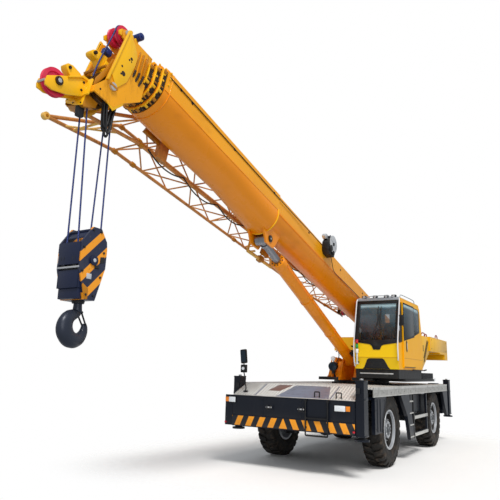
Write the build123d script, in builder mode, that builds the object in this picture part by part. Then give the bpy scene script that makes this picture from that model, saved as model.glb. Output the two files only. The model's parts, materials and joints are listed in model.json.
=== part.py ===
"""Rough-terrain mobile crane.

Two-axle carrier, slewing upper with cab, four-section boom, stowed jib and hook block.

Stations along the machine run rearward from the front axle. Every piece is written moved by
FRONT_AXLE_Y, which puts the frame's origin on the ground, at mid-length. +X is the machine's left, -Y its
front, +Z up.
"""

import os
from math import cos, radians, sin

from build123d import *

# ---- Overall sizes (mm) ----
WHEELBASE = 3655
FRONT_AXLE_Y = 881
AXLE_Z = 654
HALF_WIDTH = 1315
FRONT_FACE = -1700
REAR_FACE = WHEELBASE + 1755
RUN = 0.5

# ---- Carrier ----
RAIL_IN, RAIL_OUT = 340, 500
RAIL_BOTTOM, RAIL_TOP = 870, 1300
WALL = 12
BOX_BOTTOM, BOX_TOP = 682, 1205
BOX_HALF = 1160
DECK_TOP, DECK_THICK = 1426, 36
BAND_BOTTOM = 1262
BAND_THICK = 15
SLEW_Y, SLEW_RADIUS, SLEW_BORE, SLEW_HEIGHT = 2000, 620, 450, 74

# ---- Outriggers ----
BEAM_WIDE, BEAM_TALL = 184, 300
BEAM_GAP = 8
BEAM_BOTTOM = 790
CHANNEL_PITCH = BEAM_WIDE + 66
BOX_DEPTH = WALL + 2 * BEAM_GAP + BEAM_WIDE + CHANNEL_PITCH + 8
DECK_FULL_FRONT = FRONT_FACE + BOX_DEPTH + 30
BEAM_LENGTH = 2100
JACK_X, JACK_Y = 140, 200
JACK_BOTTOM, JACK_TOP = 660, 1540
JACK_ROD, FOOT_RADIUS, FOOT_BOTTOM = 45, 115, 590

# ---- Wheels and axles ----
TYRE_WIDTH, BEAD_RADIUS = 375, 330
TYRE_X = 1063
FLANGE_RADIUS, RIM_HALF = 352, 156
HUB_RADIUS, SPINDLE = 150, 40
KINGPIN_X, KINGPIN_RADIUS = 820, 30
KNUCKLE_HALF = 165
FORK_HALF = 215

# ---- Upper structure ----
WEB_IN, WEB_THICK = 302, 20
PLATE_TOP = 1560
FOOT_Y, FOOT_Z = 1400, 1900
LUG_IN, LUG_THICK = 142, 24
TAIL_END = 5550
TAIL_HALF = 1250
CAB_IN, CAB_OUT = 335, 1250
CAB_FLOOR = 1750
CAB_SKIN = 40
CAB_BASE_BOTTOM = 1565
DOOR_FRONT, DOOR_REAR, DOOR_THICK = 950, 1850, 30

# ---- Boom, in boom coordinates: along from the pivot, and square to it ----
LUFF_REST = 13.4
PIVOT_Y, PIVOT_Z = 3400, 2700
BOOM_HALF, BOOM_CROWN, BOOM_KEEL = 295, 340, -240
BOOM_WALL, NEST_STEP, KEEL_START = 10, 27, 30
BASE_TAIL, BASE_FRONT = -250, 9500
COLLAR = 90
DOUBLER_START, DOUBLER_THICK, BELLY_DROP, BELLY_LENGTH = 6420, 12, 110, 1200
EYE_ALONG, EYE_BELOW, EYE_RADIUS, EYE_HALF = 6300, -410, 90, 90
ROD_RADIUS, BARREL_RADIUS, BARREL_TOP_GAP = 66, 118, 640
EYE_LUG_GAP, EYE_LUG = 6, 30
HEAD_HALF, CHEEK, HORN_POST = 212, 20, 12
SHEAVE_ALONG, SHEAVE_BELOW, SHEAVE_RADIUS, SHEAVE_THICK = 10147, -450, 170, 45
FALL_X = 80
ROPE_RADIUS = 9
GUIDE_ALONG, GUIDE_UP, GUIDE_RADIUS = 10110, 390, 105
ARM_ROOT, ARM_ALONG, ARM_BELOW, ARM_SHEAVE = 10346, 10670, -764, 145
REEL_ALONG, REEL_UP, REEL_RADIUS = 4400, 362, 168

# ---- Hook block ----
BLOCK_HALF, BLOCK_CHEEK = 165, 25
BLOCK_TOP, BLOCK_BOTTOM, BLOCK_SHEAVE_Z = 3045, 2296, 2700
HOOK_TURN, HOOK_RADIUS, HOOK_THICK, HOOK_WIDE, HOOK_Z = 97, 130, 58, 62, 2012

# ---- Jib, stowed on the right, in boom coordinates ----
JIB_NEAR, JIB_WIDE = -375, 460
JIB_FORK, JIB_HEEL, JIB_NECK, JIB_TIP = 10130, 9050, 2600, 1000
JIB_FORK_UP, JIB_HEEL_UP, JIB_TIP_UP = -555, -310, 160
JIB_DEEP, JIB_TIP_DEEP, JIB_TIP_WIDE = 400, 180, 200
CHORD_RADIUS, LACE_RADIUS = 24, 11
JIB_BAYS, JIB_TAPER_BAYS = 11, 4

BOOM_C, BOOM_S = cos(radians(LUFF_REST)), sin(radians(LUFF_REST))


def save(part, name):
    """Label one finished piece and write it in the machine's frame."""
    part.label = name
    export_step(part.moved(Location((0, FRONT_AXLE_Y, 0))), f"parts/{name}.step")


def block(x, y, z, mode=Mode.ADD):
    """A box between pairs of X, Y and Z values."""
    with Locations(((x[0] + x[1]) / 2, (y[0] + y[1]) / 2, (z[0] + z[1]) / 2)):
        Box(x[1] - x[0], y[1] - y[0], z[1] - z[0], mode=mode)


def side_plate(points, low_x, high_x, mode=Mode.ADD):
    """An outline of (Y, Z) points, thick from low_x to high_x."""
    with BuildSketch(Plane.YZ.offset(low_x)) as outline:
        with BuildLine():
            Polyline(*points, close=True)
        make_face()
    extrude(outline.sketch, amount=high_x - low_x, mode=mode)


def boom_side(x):
    """The plane of a side view of the boom at x: local x along the boom, local y square to it and up."""
    return Plane(origin=(x, PIVOT_Y, PIVOT_Z), x_dir=(0, -BOOM_C, BOOM_S), z_dir=(-1, 0, 0))


def boom_cross(along):
    """The plane square to the boom at a distance along it from the pivot."""
    return Plane(origin=boom_point(0, along, 0), x_dir=(1, 0, 0), z_dir=(0, -BOOM_C, BOOM_S))


def boom_point(x, along, up):
    """A point in boom coordinates, as one in the machine's."""
    return (x, PIVOT_Y - along * BOOM_C + up * BOOM_S, PIVOT_Z + along * BOOM_S + up * BOOM_C)


def boom_plate(points, low_x, high_x, mode=Mode.ADD):
    """An outline of (along, up) points, thick from low_x to high_x."""
    with BuildSketch(boom_side(high_x)) as outline:
        with BuildLine():
            Polyline(*points, close=True)
        make_face()
    extrude(outline.sketch, amount=high_x - low_x, mode=mode)


def boom_disc(along, up, radius, low_x, high_x, mode=Mode.ADD):
    """A disc or pin across the boom."""
    with BuildSketch(boom_side(high_x)) as outline:
        with Locations((along, up)):
            Circle(radius)
    extrude(outline.sketch, amount=high_x - low_x, mode=mode)


def boom_outline(along, shrink, keel_drop=0):
    """The U-shaped section of the boom, shrunk by a margin, with its keel dropped by keel_drop."""
    half, crown, keel = BOOM_HALF - shrink, BOOM_CROWN - shrink, BOOM_KEEL + shrink - keel_drop
    bevel = 40
    with BuildSketch(boom_cross(along)) as outline:
        with BuildLine():
            Polyline((half, KEEL_START), (half, crown - bevel), (half - bevel, crown))
            Line((half - bevel, crown), (bevel - half, crown))
            Polyline((bevel - half, crown), (-half, crown - bevel), (-half, KEEL_START))
            ThreePointArc((-half, KEEL_START), (0, keel), (half, KEEL_START))
        make_face()
    return outline.sketch


def boom_tube(start, end, shrink, mode=Mode.ADD):
    """A length of boom section."""
    extrude(boom_outline(start, shrink), amount=end - start, mode=mode)


def strut(start, end, radius):
    """A round tube between two points, as a solid bar."""
    line = Vector(*end) - Vector(*start)
    with BuildSketch(Plane(origin=start, z_dir=line)) as round_bar:
        Circle(radius)
    extrude(round_bar.sketch, amount=line.length)


def channel_y(front, index):
    """The Y range of an outrigger beam's channel: index 0 is the outer one, 1 the inner one."""
    middle = WALL + BEAM_GAP + BEAM_WIDE / 2 + index * CHANNEL_PITCH
    centre = FRONT_FACE + middle if front else REAR_FACE - middle
    return centre - BEAM_WIDE / 2, centre + BEAM_WIDE / 2


os.makedirs("parts", exist_ok=True)

# ======== Carrier ========
FRAME_FRONT, FRAME_REAR = FRONT_FACE + BOX_DEPTH, REAR_FACE - BOX_DEPTH
CROSS_HALF = 60
REAR_CROSS = FRAME_REAR - 105
BEAM_Z = (BEAM_BOTTOM, BEAM_BOTTOM + BEAM_TALL)

with BuildPart() as chassis_frame:
    for side in (-1, 1):
        rail = sorted((side * RAIL_IN, side * RAIL_OUT))
        block(rail, (FRAME_FRONT, FRAME_REAR), (RAIL_BOTTOM, RAIL_TOP))
        block((rail[0] + WALL, rail[1] - WALL), (FRAME_FRONT, FRAME_REAR),
              (RAIL_BOTTOM + WALL, RAIL_TOP - WALL),
              Mode.SUBTRACT)
    for station in (-900, 700, WHEELBASE - 500, REAR_CROSS):
        block((-RAIL_IN, RAIL_IN), (station - CROSS_HALF, station + CROSS_HALF),
              (RAIL_BOTTOM + 80, RAIL_TOP - 40))
    with Locations((0, SLEW_Y, (RAIL_TOP + DECK_TOP) / 2)):
        Cylinder(SLEW_RADIUS + 40, DECK_TOP - RAIL_TOP)
        Cylinder(SLEW_BORE, DECK_TOP - RAIL_TOP, mode=Mode.SUBTRACT)
save(chassis_frame.part, "chassis_frame")

for front in (True, False):
    name = "front_outrigger_box" if front else "rear_outrigger_box"
    outer = FRONT_FACE if front else REAR_FACE
    reach = sorted((outer, FRAME_FRONT if front else FRAME_REAR))
    with BuildPart() as outrigger_box:
        block((-BOX_HALF, BOX_HALF), reach, (BOX_BOTTOM, BOX_TOP))
        for index in (0, 1):
            low, high = channel_y(front, index)
            block((-HALF_WIDTH, HALF_WIDTH), (low - BEAM_GAP, high + BEAM_GAP),
                  (BEAM_Z[0] - BEAM_GAP, BEAM_Z[1] + BEAM_GAP),
                  Mode.SUBTRACT)
            for height in (BEAM_Z[0] - BEAM_GAP, BEAM_Z[1] + RUN):
                block((-60, 60), (low, high), (height, height + BEAM_GAP - RUN))
        if front:
            block((-HALF_WIDTH, -BOX_HALF), (outer, outer + WALL), (BOX_BOTTOM, BOX_TOP))
    save(outrigger_box.part, name)

    for side, index in ((1, 0), (-1, 1)):
        hand = "left" if side > 0 else "right"
        place = "front" if front else "rear"
        low, high = channel_y(front, index)
        middle = (low + high) / 2
        inner = side * (BOX_HALF + 10 - BEAM_LENGTH)
        post = sorted((side * (BOX_HALF + 10), side * (BOX_HALF + 10 + JACK_X)))
        with BuildPart() as beam:
            block(sorted((inner, side * (BOX_HALF + 10))), (low, high), BEAM_Z)
            block(sorted((inner, side * (BOX_HALF - 30))), (low + WALL, high - WALL),
                  (BEAM_Z[0] + WALL, BEAM_Z[1] - WALL),
                  Mode.SUBTRACT)
            block(post, (middle - JACK_Y / 2, middle + JACK_Y / 2), (JACK_BOTTOM, JACK_TOP))
            with Locations(((post[0] + post[1]) / 2, middle, (JACK_BOTTOM + JACK_TOP) / 2 - WALL)):
                Cylinder(JACK_ROD + RUN, JACK_TOP - JACK_BOTTOM, mode=Mode.SUBTRACT)
        save(beam.part, f"outrigger_beam_{place}_{hand}")
        with BuildPart() as foot:
            with Locations(((post[0] + post[1]) / 2, middle, FOOT_BOTTOM)):
                Cylinder(FOOT_RADIUS, 30, align=(Align.CENTER, Align.CENTER, Align.MIN))
                Cylinder(JACK_ROD, JACK_TOP - FOOT_BOTTOM - 3 * WALL,
                         align=(Align.CENTER, Align.CENTER, Align.MIN))
        save(foot.part, f"jack_foot_{place}_{hand}")

with BuildPart() as deck:
    block((-HALF_WIDTH, HALF_WIDTH), (DECK_FULL_FRONT, FRAME_REAR), (DECK_TOP - DECK_THICK, DECK_TOP))
    block((-BOX_HALF, BOX_HALF), (FRAME_REAR, REAR_FACE), (DECK_TOP - DECK_THICK, DECK_TOP))
    side_plate(((FRONT_FACE, BOX_TOP), (FRONT_FACE + 60, BOX_TOP), (DECK_FULL_FRONT, DECK_TOP - DECK_THICK),
                (DECK_FULL_FRONT, DECK_TOP)), -BOX_HALF, BOX_HALF)
    for side in (-1, 1):
        block(sorted((side * (HALF_WIDTH - BAND_THICK), side * HALF_WIDTH)), (DECK_FULL_FRONT, FRAME_REAR),
              (BAND_BOTTOM, DECK_TOP - DECK_THICK))
    for station in (DECK_FULL_FRONT + 20, 760, 2900, FRAME_REAR - 80):
        for side in (-1, 1):
            block(sorted((side * (RAIL_IN + 20), side * (RAIL_OUT - 20))), (station, station + 60),
                  (RAIL_TOP, DECK_TOP - DECK_THICK))
    block((-BOX_HALF, BOX_HALF), (REAR_FACE - 20, REAR_FACE), (BOX_TOP, DECK_TOP - DECK_THICK))
    with Locations((0, SLEW_Y, DECK_TOP - DECK_THICK / 2)):
        Cylinder(SLEW_RADIUS + 40 + RUN, 2 * DECK_THICK, mode=Mode.SUBTRACT)
save(deck.part, "deck")

with BuildPart() as slew_ring:
    with Locations((0, SLEW_Y, DECK_TOP + SLEW_HEIGHT / 2)):
        Cylinder(SLEW_RADIUS, SLEW_HEIGHT)
        Cylinder(SLEW_BORE, SLEW_HEIGHT, mode=Mode.SUBTRACT)
save(slew_ring.part, "slew_ring")

with BuildPart() as engine:
    block((-RAIL_IN + 20, RAIL_IN - 20), (WHEELBASE + 330, REAR_CROSS - CROSS_HALF - RUN), (820, 1330))
    block((-200, 200), (WHEELBASE + 400, WHEELBASE + 1000), (760, 820))
save(engine.part, "engine_block")

GUARDS = {
    "front_guard": ((-1150, BAND_BOTTOM), (-510, BAND_BOTTOM), (-700, 900), (-760, 660), (-1150, 660)),
    "rear_guard": ((4340, BAND_BOTTOM), (FRAME_REAR, BAND_BOTTOM), (FRAME_REAR, 660), (4740, 660),
                   (4560, 900)),
    "side_steps": ((470, BAND_BOTTOM), (1100, BAND_BOTTOM), (1460, 380), (1100, 380), (905, 840)),
}
for side, hand in ((1, "left"), (-1, "right")):
    outer = side * HALF_WIDTH
    for name, outline in GUARDS.items():
        with BuildPart() as guard:
            side_plate(outline, *sorted((outer - side * 60, outer)))
            if name == "side_steps":
                for height in (450, 790):
                    block(sorted((outer - side * 90, outer - side * 30)), (1380, 2700),
                          (height - 30, height + 30))
                block(sorted((outer - side * 60, outer - side * 20)), (2640, 2700), (420, BAND_BOTTOM))
            else:
                reach = (-1150, -1100) if name == "front_guard" else (FRAME_REAR - 50, FRAME_REAR)
                block(sorted((outer - side * 60, side * RAIL_OUT)), reach, (BAND_BOTTOM - 40, BAND_BOTTOM))
        save(guard.part, f"{name}_{hand}")
    with BuildPart() as tank:
        block(sorted((side * RAIL_OUT, side * 1180)), (1500, 2500), (820, 1280))
        fillet(tank.edges().filter_by(Axis.Y), 60)
    save(tank.part, "fuel_tank" if side > 0 else "hydraulic_tank")

# ======== Axles and wheels ========
for place, station in (("front", 0), ("rear", WHEELBASE)):
    with BuildPart() as axle:
        block((-740, 740), (station - 90, station + 90), (AXLE_Z - 110, AXLE_Z + 110))
        with Locations(Location((0, station, AXLE_Z), (90, 0, 0))):
            Cylinder(190, 300)
        for side in (-1, 1):
            for up in (-1, 1):
                block(sorted((side * 700, side * 890)), (station - 60, station + 60),
                      sorted((AXLE_Z + up * (KNUCKLE_HALF + 3), AXLE_Z + up * FORK_HALF)))
            block(sorted((side * 700, side * 738)), (station - 60, station + 60),
                  (AXLE_Z - FORK_HALF, AXLE_Z + FORK_HALF))
            with Locations((side * KINGPIN_X, station, AXLE_Z)):
                Cylinder(KINGPIN_RADIUS + RUN, 2 * FORK_HALF, mode=Mode.SUBTRACT)
            block(sorted((side * RAIL_IN, side * RAIL_OUT)), (station - 80, station + 80),
                  (AXLE_Z + 100, RAIL_BOTTOM))
    save(axle.part, f"{place}_axle")

    for side, hand in ((1, "left"), (-1, "right")):
        wheel_plane = Plane(origin=(side * TYRE_X, station, AXLE_Z), x_dir=(side, 0, 0), z_dir=(0, -side, 0))
        hub_back = KINGPIN_X + 183
        with BuildPart() as knuckle:
            with Locations((side * KINGPIN_X, station, AXLE_Z)):
                Cylinder(75, 2 * KNUCKLE_HALF)
                Cylinder(KINGPIN_RADIUS, 2 * FORK_HALF)
            with BuildSketch(Plane.YZ.offset(side * KINGPIN_X)) as drum:
                with Locations((station, AXLE_Z)):
                    Circle(125)
            extrude(drum.sketch, amount=side * (hub_back - KINGPIN_X - RUN))
            with BuildSketch(Plane.YZ.offset(side * KINGPIN_X)) as spindle:
                with Locations((station, AXLE_Z)):
                    Circle(SPINDLE)
            extrude(spindle.sketch, amount=side * 330)
        save(knuckle.part, f"steering_knuckle_{place}_{hand}")

        with BuildPart() as rim:
            with BuildSketch(wheel_plane):
                with BuildLine():
                    Polyline((-RIM_HALF, 318), (20, 318), (10, 170), (hub_back - TYRE_X, HUB_RADIUS),
                             (hub_back - TYRE_X, SPINDLE + RUN), (95, SPINDLE + RUN), (95, 0), (125, 0),
                             (125, HUB_RADIUS),
                             (45, HUB_RADIUS + 20), (45, 300), (RIM_HALF, 318), (RIM_HALF, FLANGE_RADIUS),
                             (RIM_HALF - 16, FLANGE_RADIUS), (RIM_HALF - 16, BEAD_RADIUS),
                             (16 - RIM_HALF, BEAD_RADIUS), (16 - RIM_HALF, FLANGE_RADIUS),
                             (-RIM_HALF, FLANGE_RADIUS),
                             close=True)
                make_face()
            revolve(axis=Axis((side * TYRE_X, station, AXLE_Z), (1, 0, 0)))
        save(rim.part, f"wheel_rim_{place}_{hand}")

        with BuildPart() as tyre:
            with BuildSketch(wheel_plane):
                with BuildLine():
                    bead, half = RIM_HALF - 18, TYRE_WIDTH / 2
                    right = Polyline((bead, BEAD_RADIUS), (bead, FLANGE_RADIUS + 6),
                                     (half - 12, FLANGE_RADIUS + 30),
                                     (half, 450), (half, 540), (half - 18, 610), (half - 50, AXLE_Z))
                    Line(right @ 1, (50 - half, AXLE_Z))
                    left = Polyline((50 - half, AXLE_Z), (18 - half, 610), (-half, 540), (-half, 450),
                                    (12 - half, FLANGE_RADIUS + 30), (-bead, FLANGE_RADIUS + 6),
                                    (-bead, BEAD_RADIUS))
                    Line(left @ 1, right @ 0)
                make_face()
            revolve(axis=Axis((side * TYRE_X, station, AXLE_Z), (1, 0, 0)))
        save(tyre.part, f"tyre_{place}_{hand}")

# ======== Upper structure ========
PLATE_BOTTOM = DECK_TOP + SLEW_HEIGHT + RUN
WEB = ((960, PLATE_TOP), (1220, 1960), (1400, 1990), (1650, 1950), (2500, 2200), (3150, 2870), (3300, 2930),
       (3500, 2930),
       (3650, 2870), (4250, 2300), (5200, 2300), (5200, 2020), (4200, 1980), (3600, PLATE_TOP))
with BuildPart() as turntable:
    block((-600, 600), (960, 3600), (PLATE_BOTTOM, PLATE_TOP))
    block((-LUG_IN, LUG_IN), (500, FOOT_Y + 430), (PLATE_BOTTOM - 10, PLATE_TOP + 10), Mode.SUBTRACT)
    for side in (-1, 1):
        side_plate(WEB, *sorted((side * WEB_IN, side * (WEB_IN + WEB_THICK))))
        side_plate(((FOOT_Y - 330, PLATE_TOP), (FOOT_Y - 130, FOOT_Z + 110), (FOOT_Y + 130, FOOT_Z + 110),
                    (FOOT_Y + 450, PLATE_TOP)), *sorted((side * LUG_IN, side * (LUG_IN + LUG_THICK))))
        block(sorted((side * LUG_IN, side * WEB_IN)), (FOOT_Y + 50, FOOT_Y + 80), (PLATE_TOP, 1800))
        with BuildSketch(Plane.YZ.offset(side * LUG_IN)) as foot_hole:
            with Locations((FOOT_Y, FOOT_Z)):
                Circle(36)
        extrude(foot_hole.sketch, amount=side * LUG_THICK, mode=Mode.SUBTRACT)
    block((-WEB_IN, WEB_IN), (2500, 2530), (PLATE_TOP, 2150))
    block((-WEB_IN, WEB_IN), (3900, 5150), (2020, 2050))
    with BuildSketch(Plane.YZ.offset(-WEB_IN - WEB_THICK)) as pivot_hole:
        with Locations((PIVOT_Y, PIVOT_Z)):
            Circle(60 + RUN)
    extrude(pivot_hole.sketch, amount=2 * (WEB_IN + WEB_THICK), mode=Mode.SUBTRACT)
save(turntable.part, "turntable")

with BuildPart() as counterweight:
    block((-TAIL_HALF, TAIL_HALF), (5200 + RUN, TAIL_END), (2060, 2580))
    block((-TAIL_HALF, TAIL_HALF), (4600, 5201), (2200, 2580))
    block((-WEB_IN - WEB_THICK - RUN, WEB_IN + WEB_THICK + RUN), (4500, 5200 + RUN), (2000, 2600),
          Mode.SUBTRACT)
    for side in (-1, 1):
        block(sorted((side * (WEB_IN + WEB_THICK + RUN), side * TAIL_HALF)), (3500, 4601), (2230, 2580))
save(counterweight.part, "counterweight")

for name, station, up, radius in (("main_drum", 4850, 2246, 190), ("auxiliary_drum", 4330, 2225, 150)):
    with BuildPart() as drum:
        with BuildSketch(Plane.YZ.offset(-WEB_IN + 14)) as disc:
            with Locations((station, up)):
                Circle(radius)
        extrude(disc.sketch, amount=2 * (WEB_IN - 14))
        with BuildSketch(Plane.YZ.offset(-WEB_IN + 34)) as groove:
            with Locations((station, up)):
                Circle(radius + 1)
                Circle(radius - 40, mode=Mode.SUBTRACT)
        extrude(groove.sketch, amount=2 * (WEB_IN - 34), mode=Mode.SUBTRACT)
        with BuildSketch(Plane.YZ.offset(RUN - WEB_IN)) as shaft:
            with Locations((station, up)):
                Circle(50)
        extrude(shaft.sketch, amount=2 * (WEB_IN - RUN))
    save(drum.part, name)

CAB_SIDE = ((660, CAB_FLOOR), (610, 1980), (625, 2300), (860, 3220), (2400, 3220), (2500, 3120),
            (2720, 2250), (2620, CAB_FLOOR))
CAB_HOLLOW = ((700, CAB_FLOOR + 30), (652, 1985), (666, 2300), (890, 3180), (2380, 3180), (2462, 3100),
              (2680, 2250),
              (2585, CAB_FLOOR + 30))
WINDSCREEN = ((560, 2290), (700, 2290), (1010, 3130), (760, 3130))
DOOR_LINE = ((DOOR_FRONT, CAB_FLOOR + 40), (DOOR_FRONT, 3140), (DOOR_REAR, 3140), (DOOR_REAR, CAB_FLOOR + 40))
with BuildPart() as cab_base:
    block((CAB_IN, CAB_OUT - 20), (700, 2580), (CAB_BASE_BOTTOM, CAB_FLOOR))
    block((WEB_IN + WEB_THICK, CAB_IN), (1600, 2300), (CAB_BASE_BOTTOM + 60, CAB_FLOOR - 20))
save(cab_base.part, "cab_base")

with BuildPart() as cab_shell:
    side_plate(CAB_SIDE, CAB_IN, CAB_OUT)
    side_plate(CAB_HOLLOW, CAB_IN + CAB_SKIN, CAB_OUT - CAB_SKIN, Mode.SUBTRACT)
    side_plate(WINDSCREEN, CAB_IN + CAB_SKIN + 20, CAB_OUT - CAB_SKIN - 20, Mode.SUBTRACT)
    side_plate(((DOOR_FRONT + 30, CAB_FLOOR + 70), (DOOR_FRONT + 30, 3110), (DOOR_REAR - 30, 3110),
                (DOOR_REAR - 30, CAB_FLOOR + 70)),
               CAB_OUT - CAB_SKIN - 10, CAB_OUT + 10, Mode.SUBTRACT)
    side_plate(((DOOR_REAR + 60, 2560), (DOOR_REAR + 60, 3110), (2350, 3110), (2400, 2600)),
               CAB_OUT - CAB_SKIN - 10, CAB_OUT + 10,
               Mode.SUBTRACT)
    side_plate(((800, 2500), (960, 3110), (2300, 3110), (2400, 2600), (2300, 2500)), CAB_IN - 10,
               CAB_IN + CAB_SKIN + 10, Mode.SUBTRACT)
    block((CAB_IN + 100, CAB_OUT - 100), (2400, 2800), (2500, 3050), Mode.SUBTRACT)
save(cab_shell.part, "cab_shell")

with BuildPart() as cab_door:
    side_plate(DOOR_LINE, CAB_OUT + 3, CAB_OUT + DOOR_THICK)
    side_plate(((DOOR_FRONT + 60, 2420), (DOOR_FRONT + 60, 3080), (DOOR_REAR - 60, 3080),
                (DOOR_REAR - 60, 2480)),
               CAB_OUT, CAB_OUT + DOOR_THICK + 1, Mode.SUBTRACT)
    block((CAB_OUT + RUN, CAB_OUT + 3), (DOOR_FRONT + 5, DOOR_REAR - 5), (3122, 3136))
save(cab_door.part, "cab_door")

with BuildPart() as door_glass:
    side_plate(((DOOR_FRONT + 60, 2420), (DOOR_FRONT + 60, 3080), (DOOR_REAR - 60, 3080),
                (DOOR_REAR - 60, 2480)),
               CAB_OUT + 10, CAB_OUT + 16)
save(door_glass.part, "door_glass")

with BuildPart() as cab_glass:
    side_plate(((640, 2290), (646, 2290), (857, 3130), (851, 3130)), CAB_IN + CAB_SKIN + 20,
               CAB_OUT - CAB_SKIN - 20)
    side_plate(((DOOR_REAR + 60, 2560), (DOOR_REAR + 60, 3110), (2350, 3110), (2400, 2600)), CAB_OUT - 26,
               CAB_OUT - 20)
    side_plate(((800, 2500), (960, 3110), (2300, 3110), (2400, 2600), (2300, 2500)), CAB_IN + 17, CAB_IN + 23)
save(cab_glass.part, "cab_glass")

with BuildPart() as seat:
    block((560, 1060), (1500, 2020), (CAB_FLOOR + 350, CAB_FLOOR + 470))
    block((580, 1040), (1960, 2100), (CAB_FLOOR + 400, CAB_FLOOR + 1050))
    block((700, 920), (1640, 1860), (CAB_FLOOR + 30, CAB_FLOOR + 351))
save(seat.part, "operator_seat")

# ======== Boom ========
EYE_LUG_IN = BARREL_RADIUS + EYE_LUG_GAP
SECTION_TAILS = (BASE_TAIL, 350, 550, 750)
SECTION_FRONTS = (BASE_FRONT, BASE_FRONT + COLLAR, BASE_FRONT + 2 * COLLAR, 9770)
SECTION_NAMES = ("boom_base", "boom_section_2", "boom_section_3", "boom_head")

for order, (name, tail, front_end) in enumerate(zip(SECTION_NAMES, SECTION_TAILS, SECTION_FRONTS)):
    shrink = order * NEST_STEP
    with BuildPart() as section:
        boom_tube(tail, front_end, shrink)
        if order == 0:
            boom_tube(DOUBLER_START, front_end, -DOUBLER_THICK)
            loft([boom_outline(DOUBLER_START, -DOUBLER_THICK, BELLY_DROP),
                  boom_outline(DOUBLER_START + BELLY_LENGTH, -DOUBLER_THICK)])
            for side in (-1, 1):
                boom_plate(((EYE_ALONG - 150, EYE_BELOW - 100), (EYE_ALONG + 110, EYE_BELOW - 110),
                            (EYE_ALONG + 330, -200),
                            (EYE_ALONG - 330, -200)),
                           *sorted((side * EYE_LUG_IN, side * (EYE_LUG_IN + EYE_LUG))))
        elif order < 3:
            boom_tube(front_end - COLLAR + RUN, front_end, shrink - NEST_STEP + 6)
        if order < 3:
            boom_tube(tail - 1, front_end - 60, shrink + BOOM_WALL, Mode.SUBTRACT)
            boom_tube(front_end - 61, front_end + 1, shrink + NEST_STEP - RUN, Mode.SUBTRACT)
        else:
            boom_tube(tail - 1, front_end - 30, shrink + BOOM_WALL, Mode.SUBTRACT)
            boom_plate(((9720, -300), (9720, 255), (9770, 255), (9770, -300)), -HEAD_HALF, HEAD_HALF)
            for side in (-1, 1):
                boom_plate(((9720, 330), (10120, 325), (10165, 290), (10250, -430), (10350, -580),
                            (10346, -660), (10060, -660),
                            (9950, -520), (9720, -320)),
                           *sorted((side * HEAD_HALF, side * (HEAD_HALF - CHEEK))))
                boom_plate(((9760, 240), (10020, GUIDE_UP + 30), (10090, GUIDE_UP + 60), (10190, GUIDE_UP),
                            (10150, 300), (9900, 240)),
                           *sorted((side * 110, side * 130)))
            boom_plate(((9720, 230), (9720, 255), (9900, 255), (9900, 230)), -HEAD_HALF, HEAD_HALF)
            boom_plate(((10324, -572), (ARM_ROOT, -572), (ARM_ROOT, -655), (10328, -655)), -HEAD_HALF,
                       HEAD_HALF)
            boom_disc(SHEAVE_ALONG, SHEAVE_BELOW, 32, -HEAD_HALF, HEAD_HALF)
            boom_disc(GUIDE_ALONG, GUIDE_UP, 25, -130, 130)
            boom_plate(((9830, 250), (9830, 600), (9890, 600), (9890, 250)), -HORN_POST, HORN_POST)
            boom_disc(9860, 610, 45, -80, 80)
        if order == 0:
            with BuildSketch(boom_side(EYE_LUG_IN + EYE_LUG + 1)) as eye_hole:
                with Locations((EYE_ALONG, EYE_BELOW)):
                    Circle(40 + RUN)
            extrude(eye_hole.sketch, amount=2 * (EYE_LUG_IN + EYE_LUG + 1), mode=Mode.SUBTRACT)
            boom_disc(0, 0, 60, -WEB_IN - WEB_THICK, WEB_IN + WEB_THICK)
    save(section.part, name)

with BuildPart() as head_sheaves:
    for x in (-FALL_X, FALL_X):
        boom_disc(SHEAVE_ALONG, SHEAVE_BELOW, SHEAVE_RADIUS, x - SHEAVE_THICK / 2, x + SHEAVE_THICK / 2)
        boom_disc(SHEAVE_ALONG, SHEAVE_BELOW, 32 + RUN, x - SHEAVE_THICK, x + SHEAVE_THICK, Mode.SUBTRACT)
    for x in (-55, 55):
        boom_disc(GUIDE_ALONG, GUIDE_UP, GUIDE_RADIUS, x - SHEAVE_THICK / 2, x + SHEAVE_THICK / 2)
        boom_disc(GUIDE_ALONG, GUIDE_UP, 25 + RUN, x - SHEAVE_THICK, x + SHEAVE_THICK, Mode.SUBTRACT)
save(head_sheaves.part, "head_sheaves")

with BuildPart() as auxiliary_arm:
    for side in (-1, 1):
        boom_plate(((10355, -520), (10355, -700), (10530, -822), (10710, -897), (10810, -848),
                    (10780, -790), (10530, -587)),
                   *sorted((side * 50, side * 70)))
    boom_plate(((ARM_ROOT + RUN, -500), (10366, -500), (10376, -700), (ARM_ROOT + RUN, -700)), -150, 150)
    boom_disc(ARM_ALONG, ARM_BELOW, ARM_SHEAVE, -22, 22)
    boom_disc(ARM_ALONG, ARM_BELOW, 20, -70, 70)
save(auxiliary_arm.part, "auxiliary_arm")

with BuildPart() as reel:
    boom_disc(REEL_ALONG, REEL_UP, REEL_RADIUS, BOOM_HALF + RUN, BOOM_HALF + 120)
save(reel.part, "cable_reel")

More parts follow.
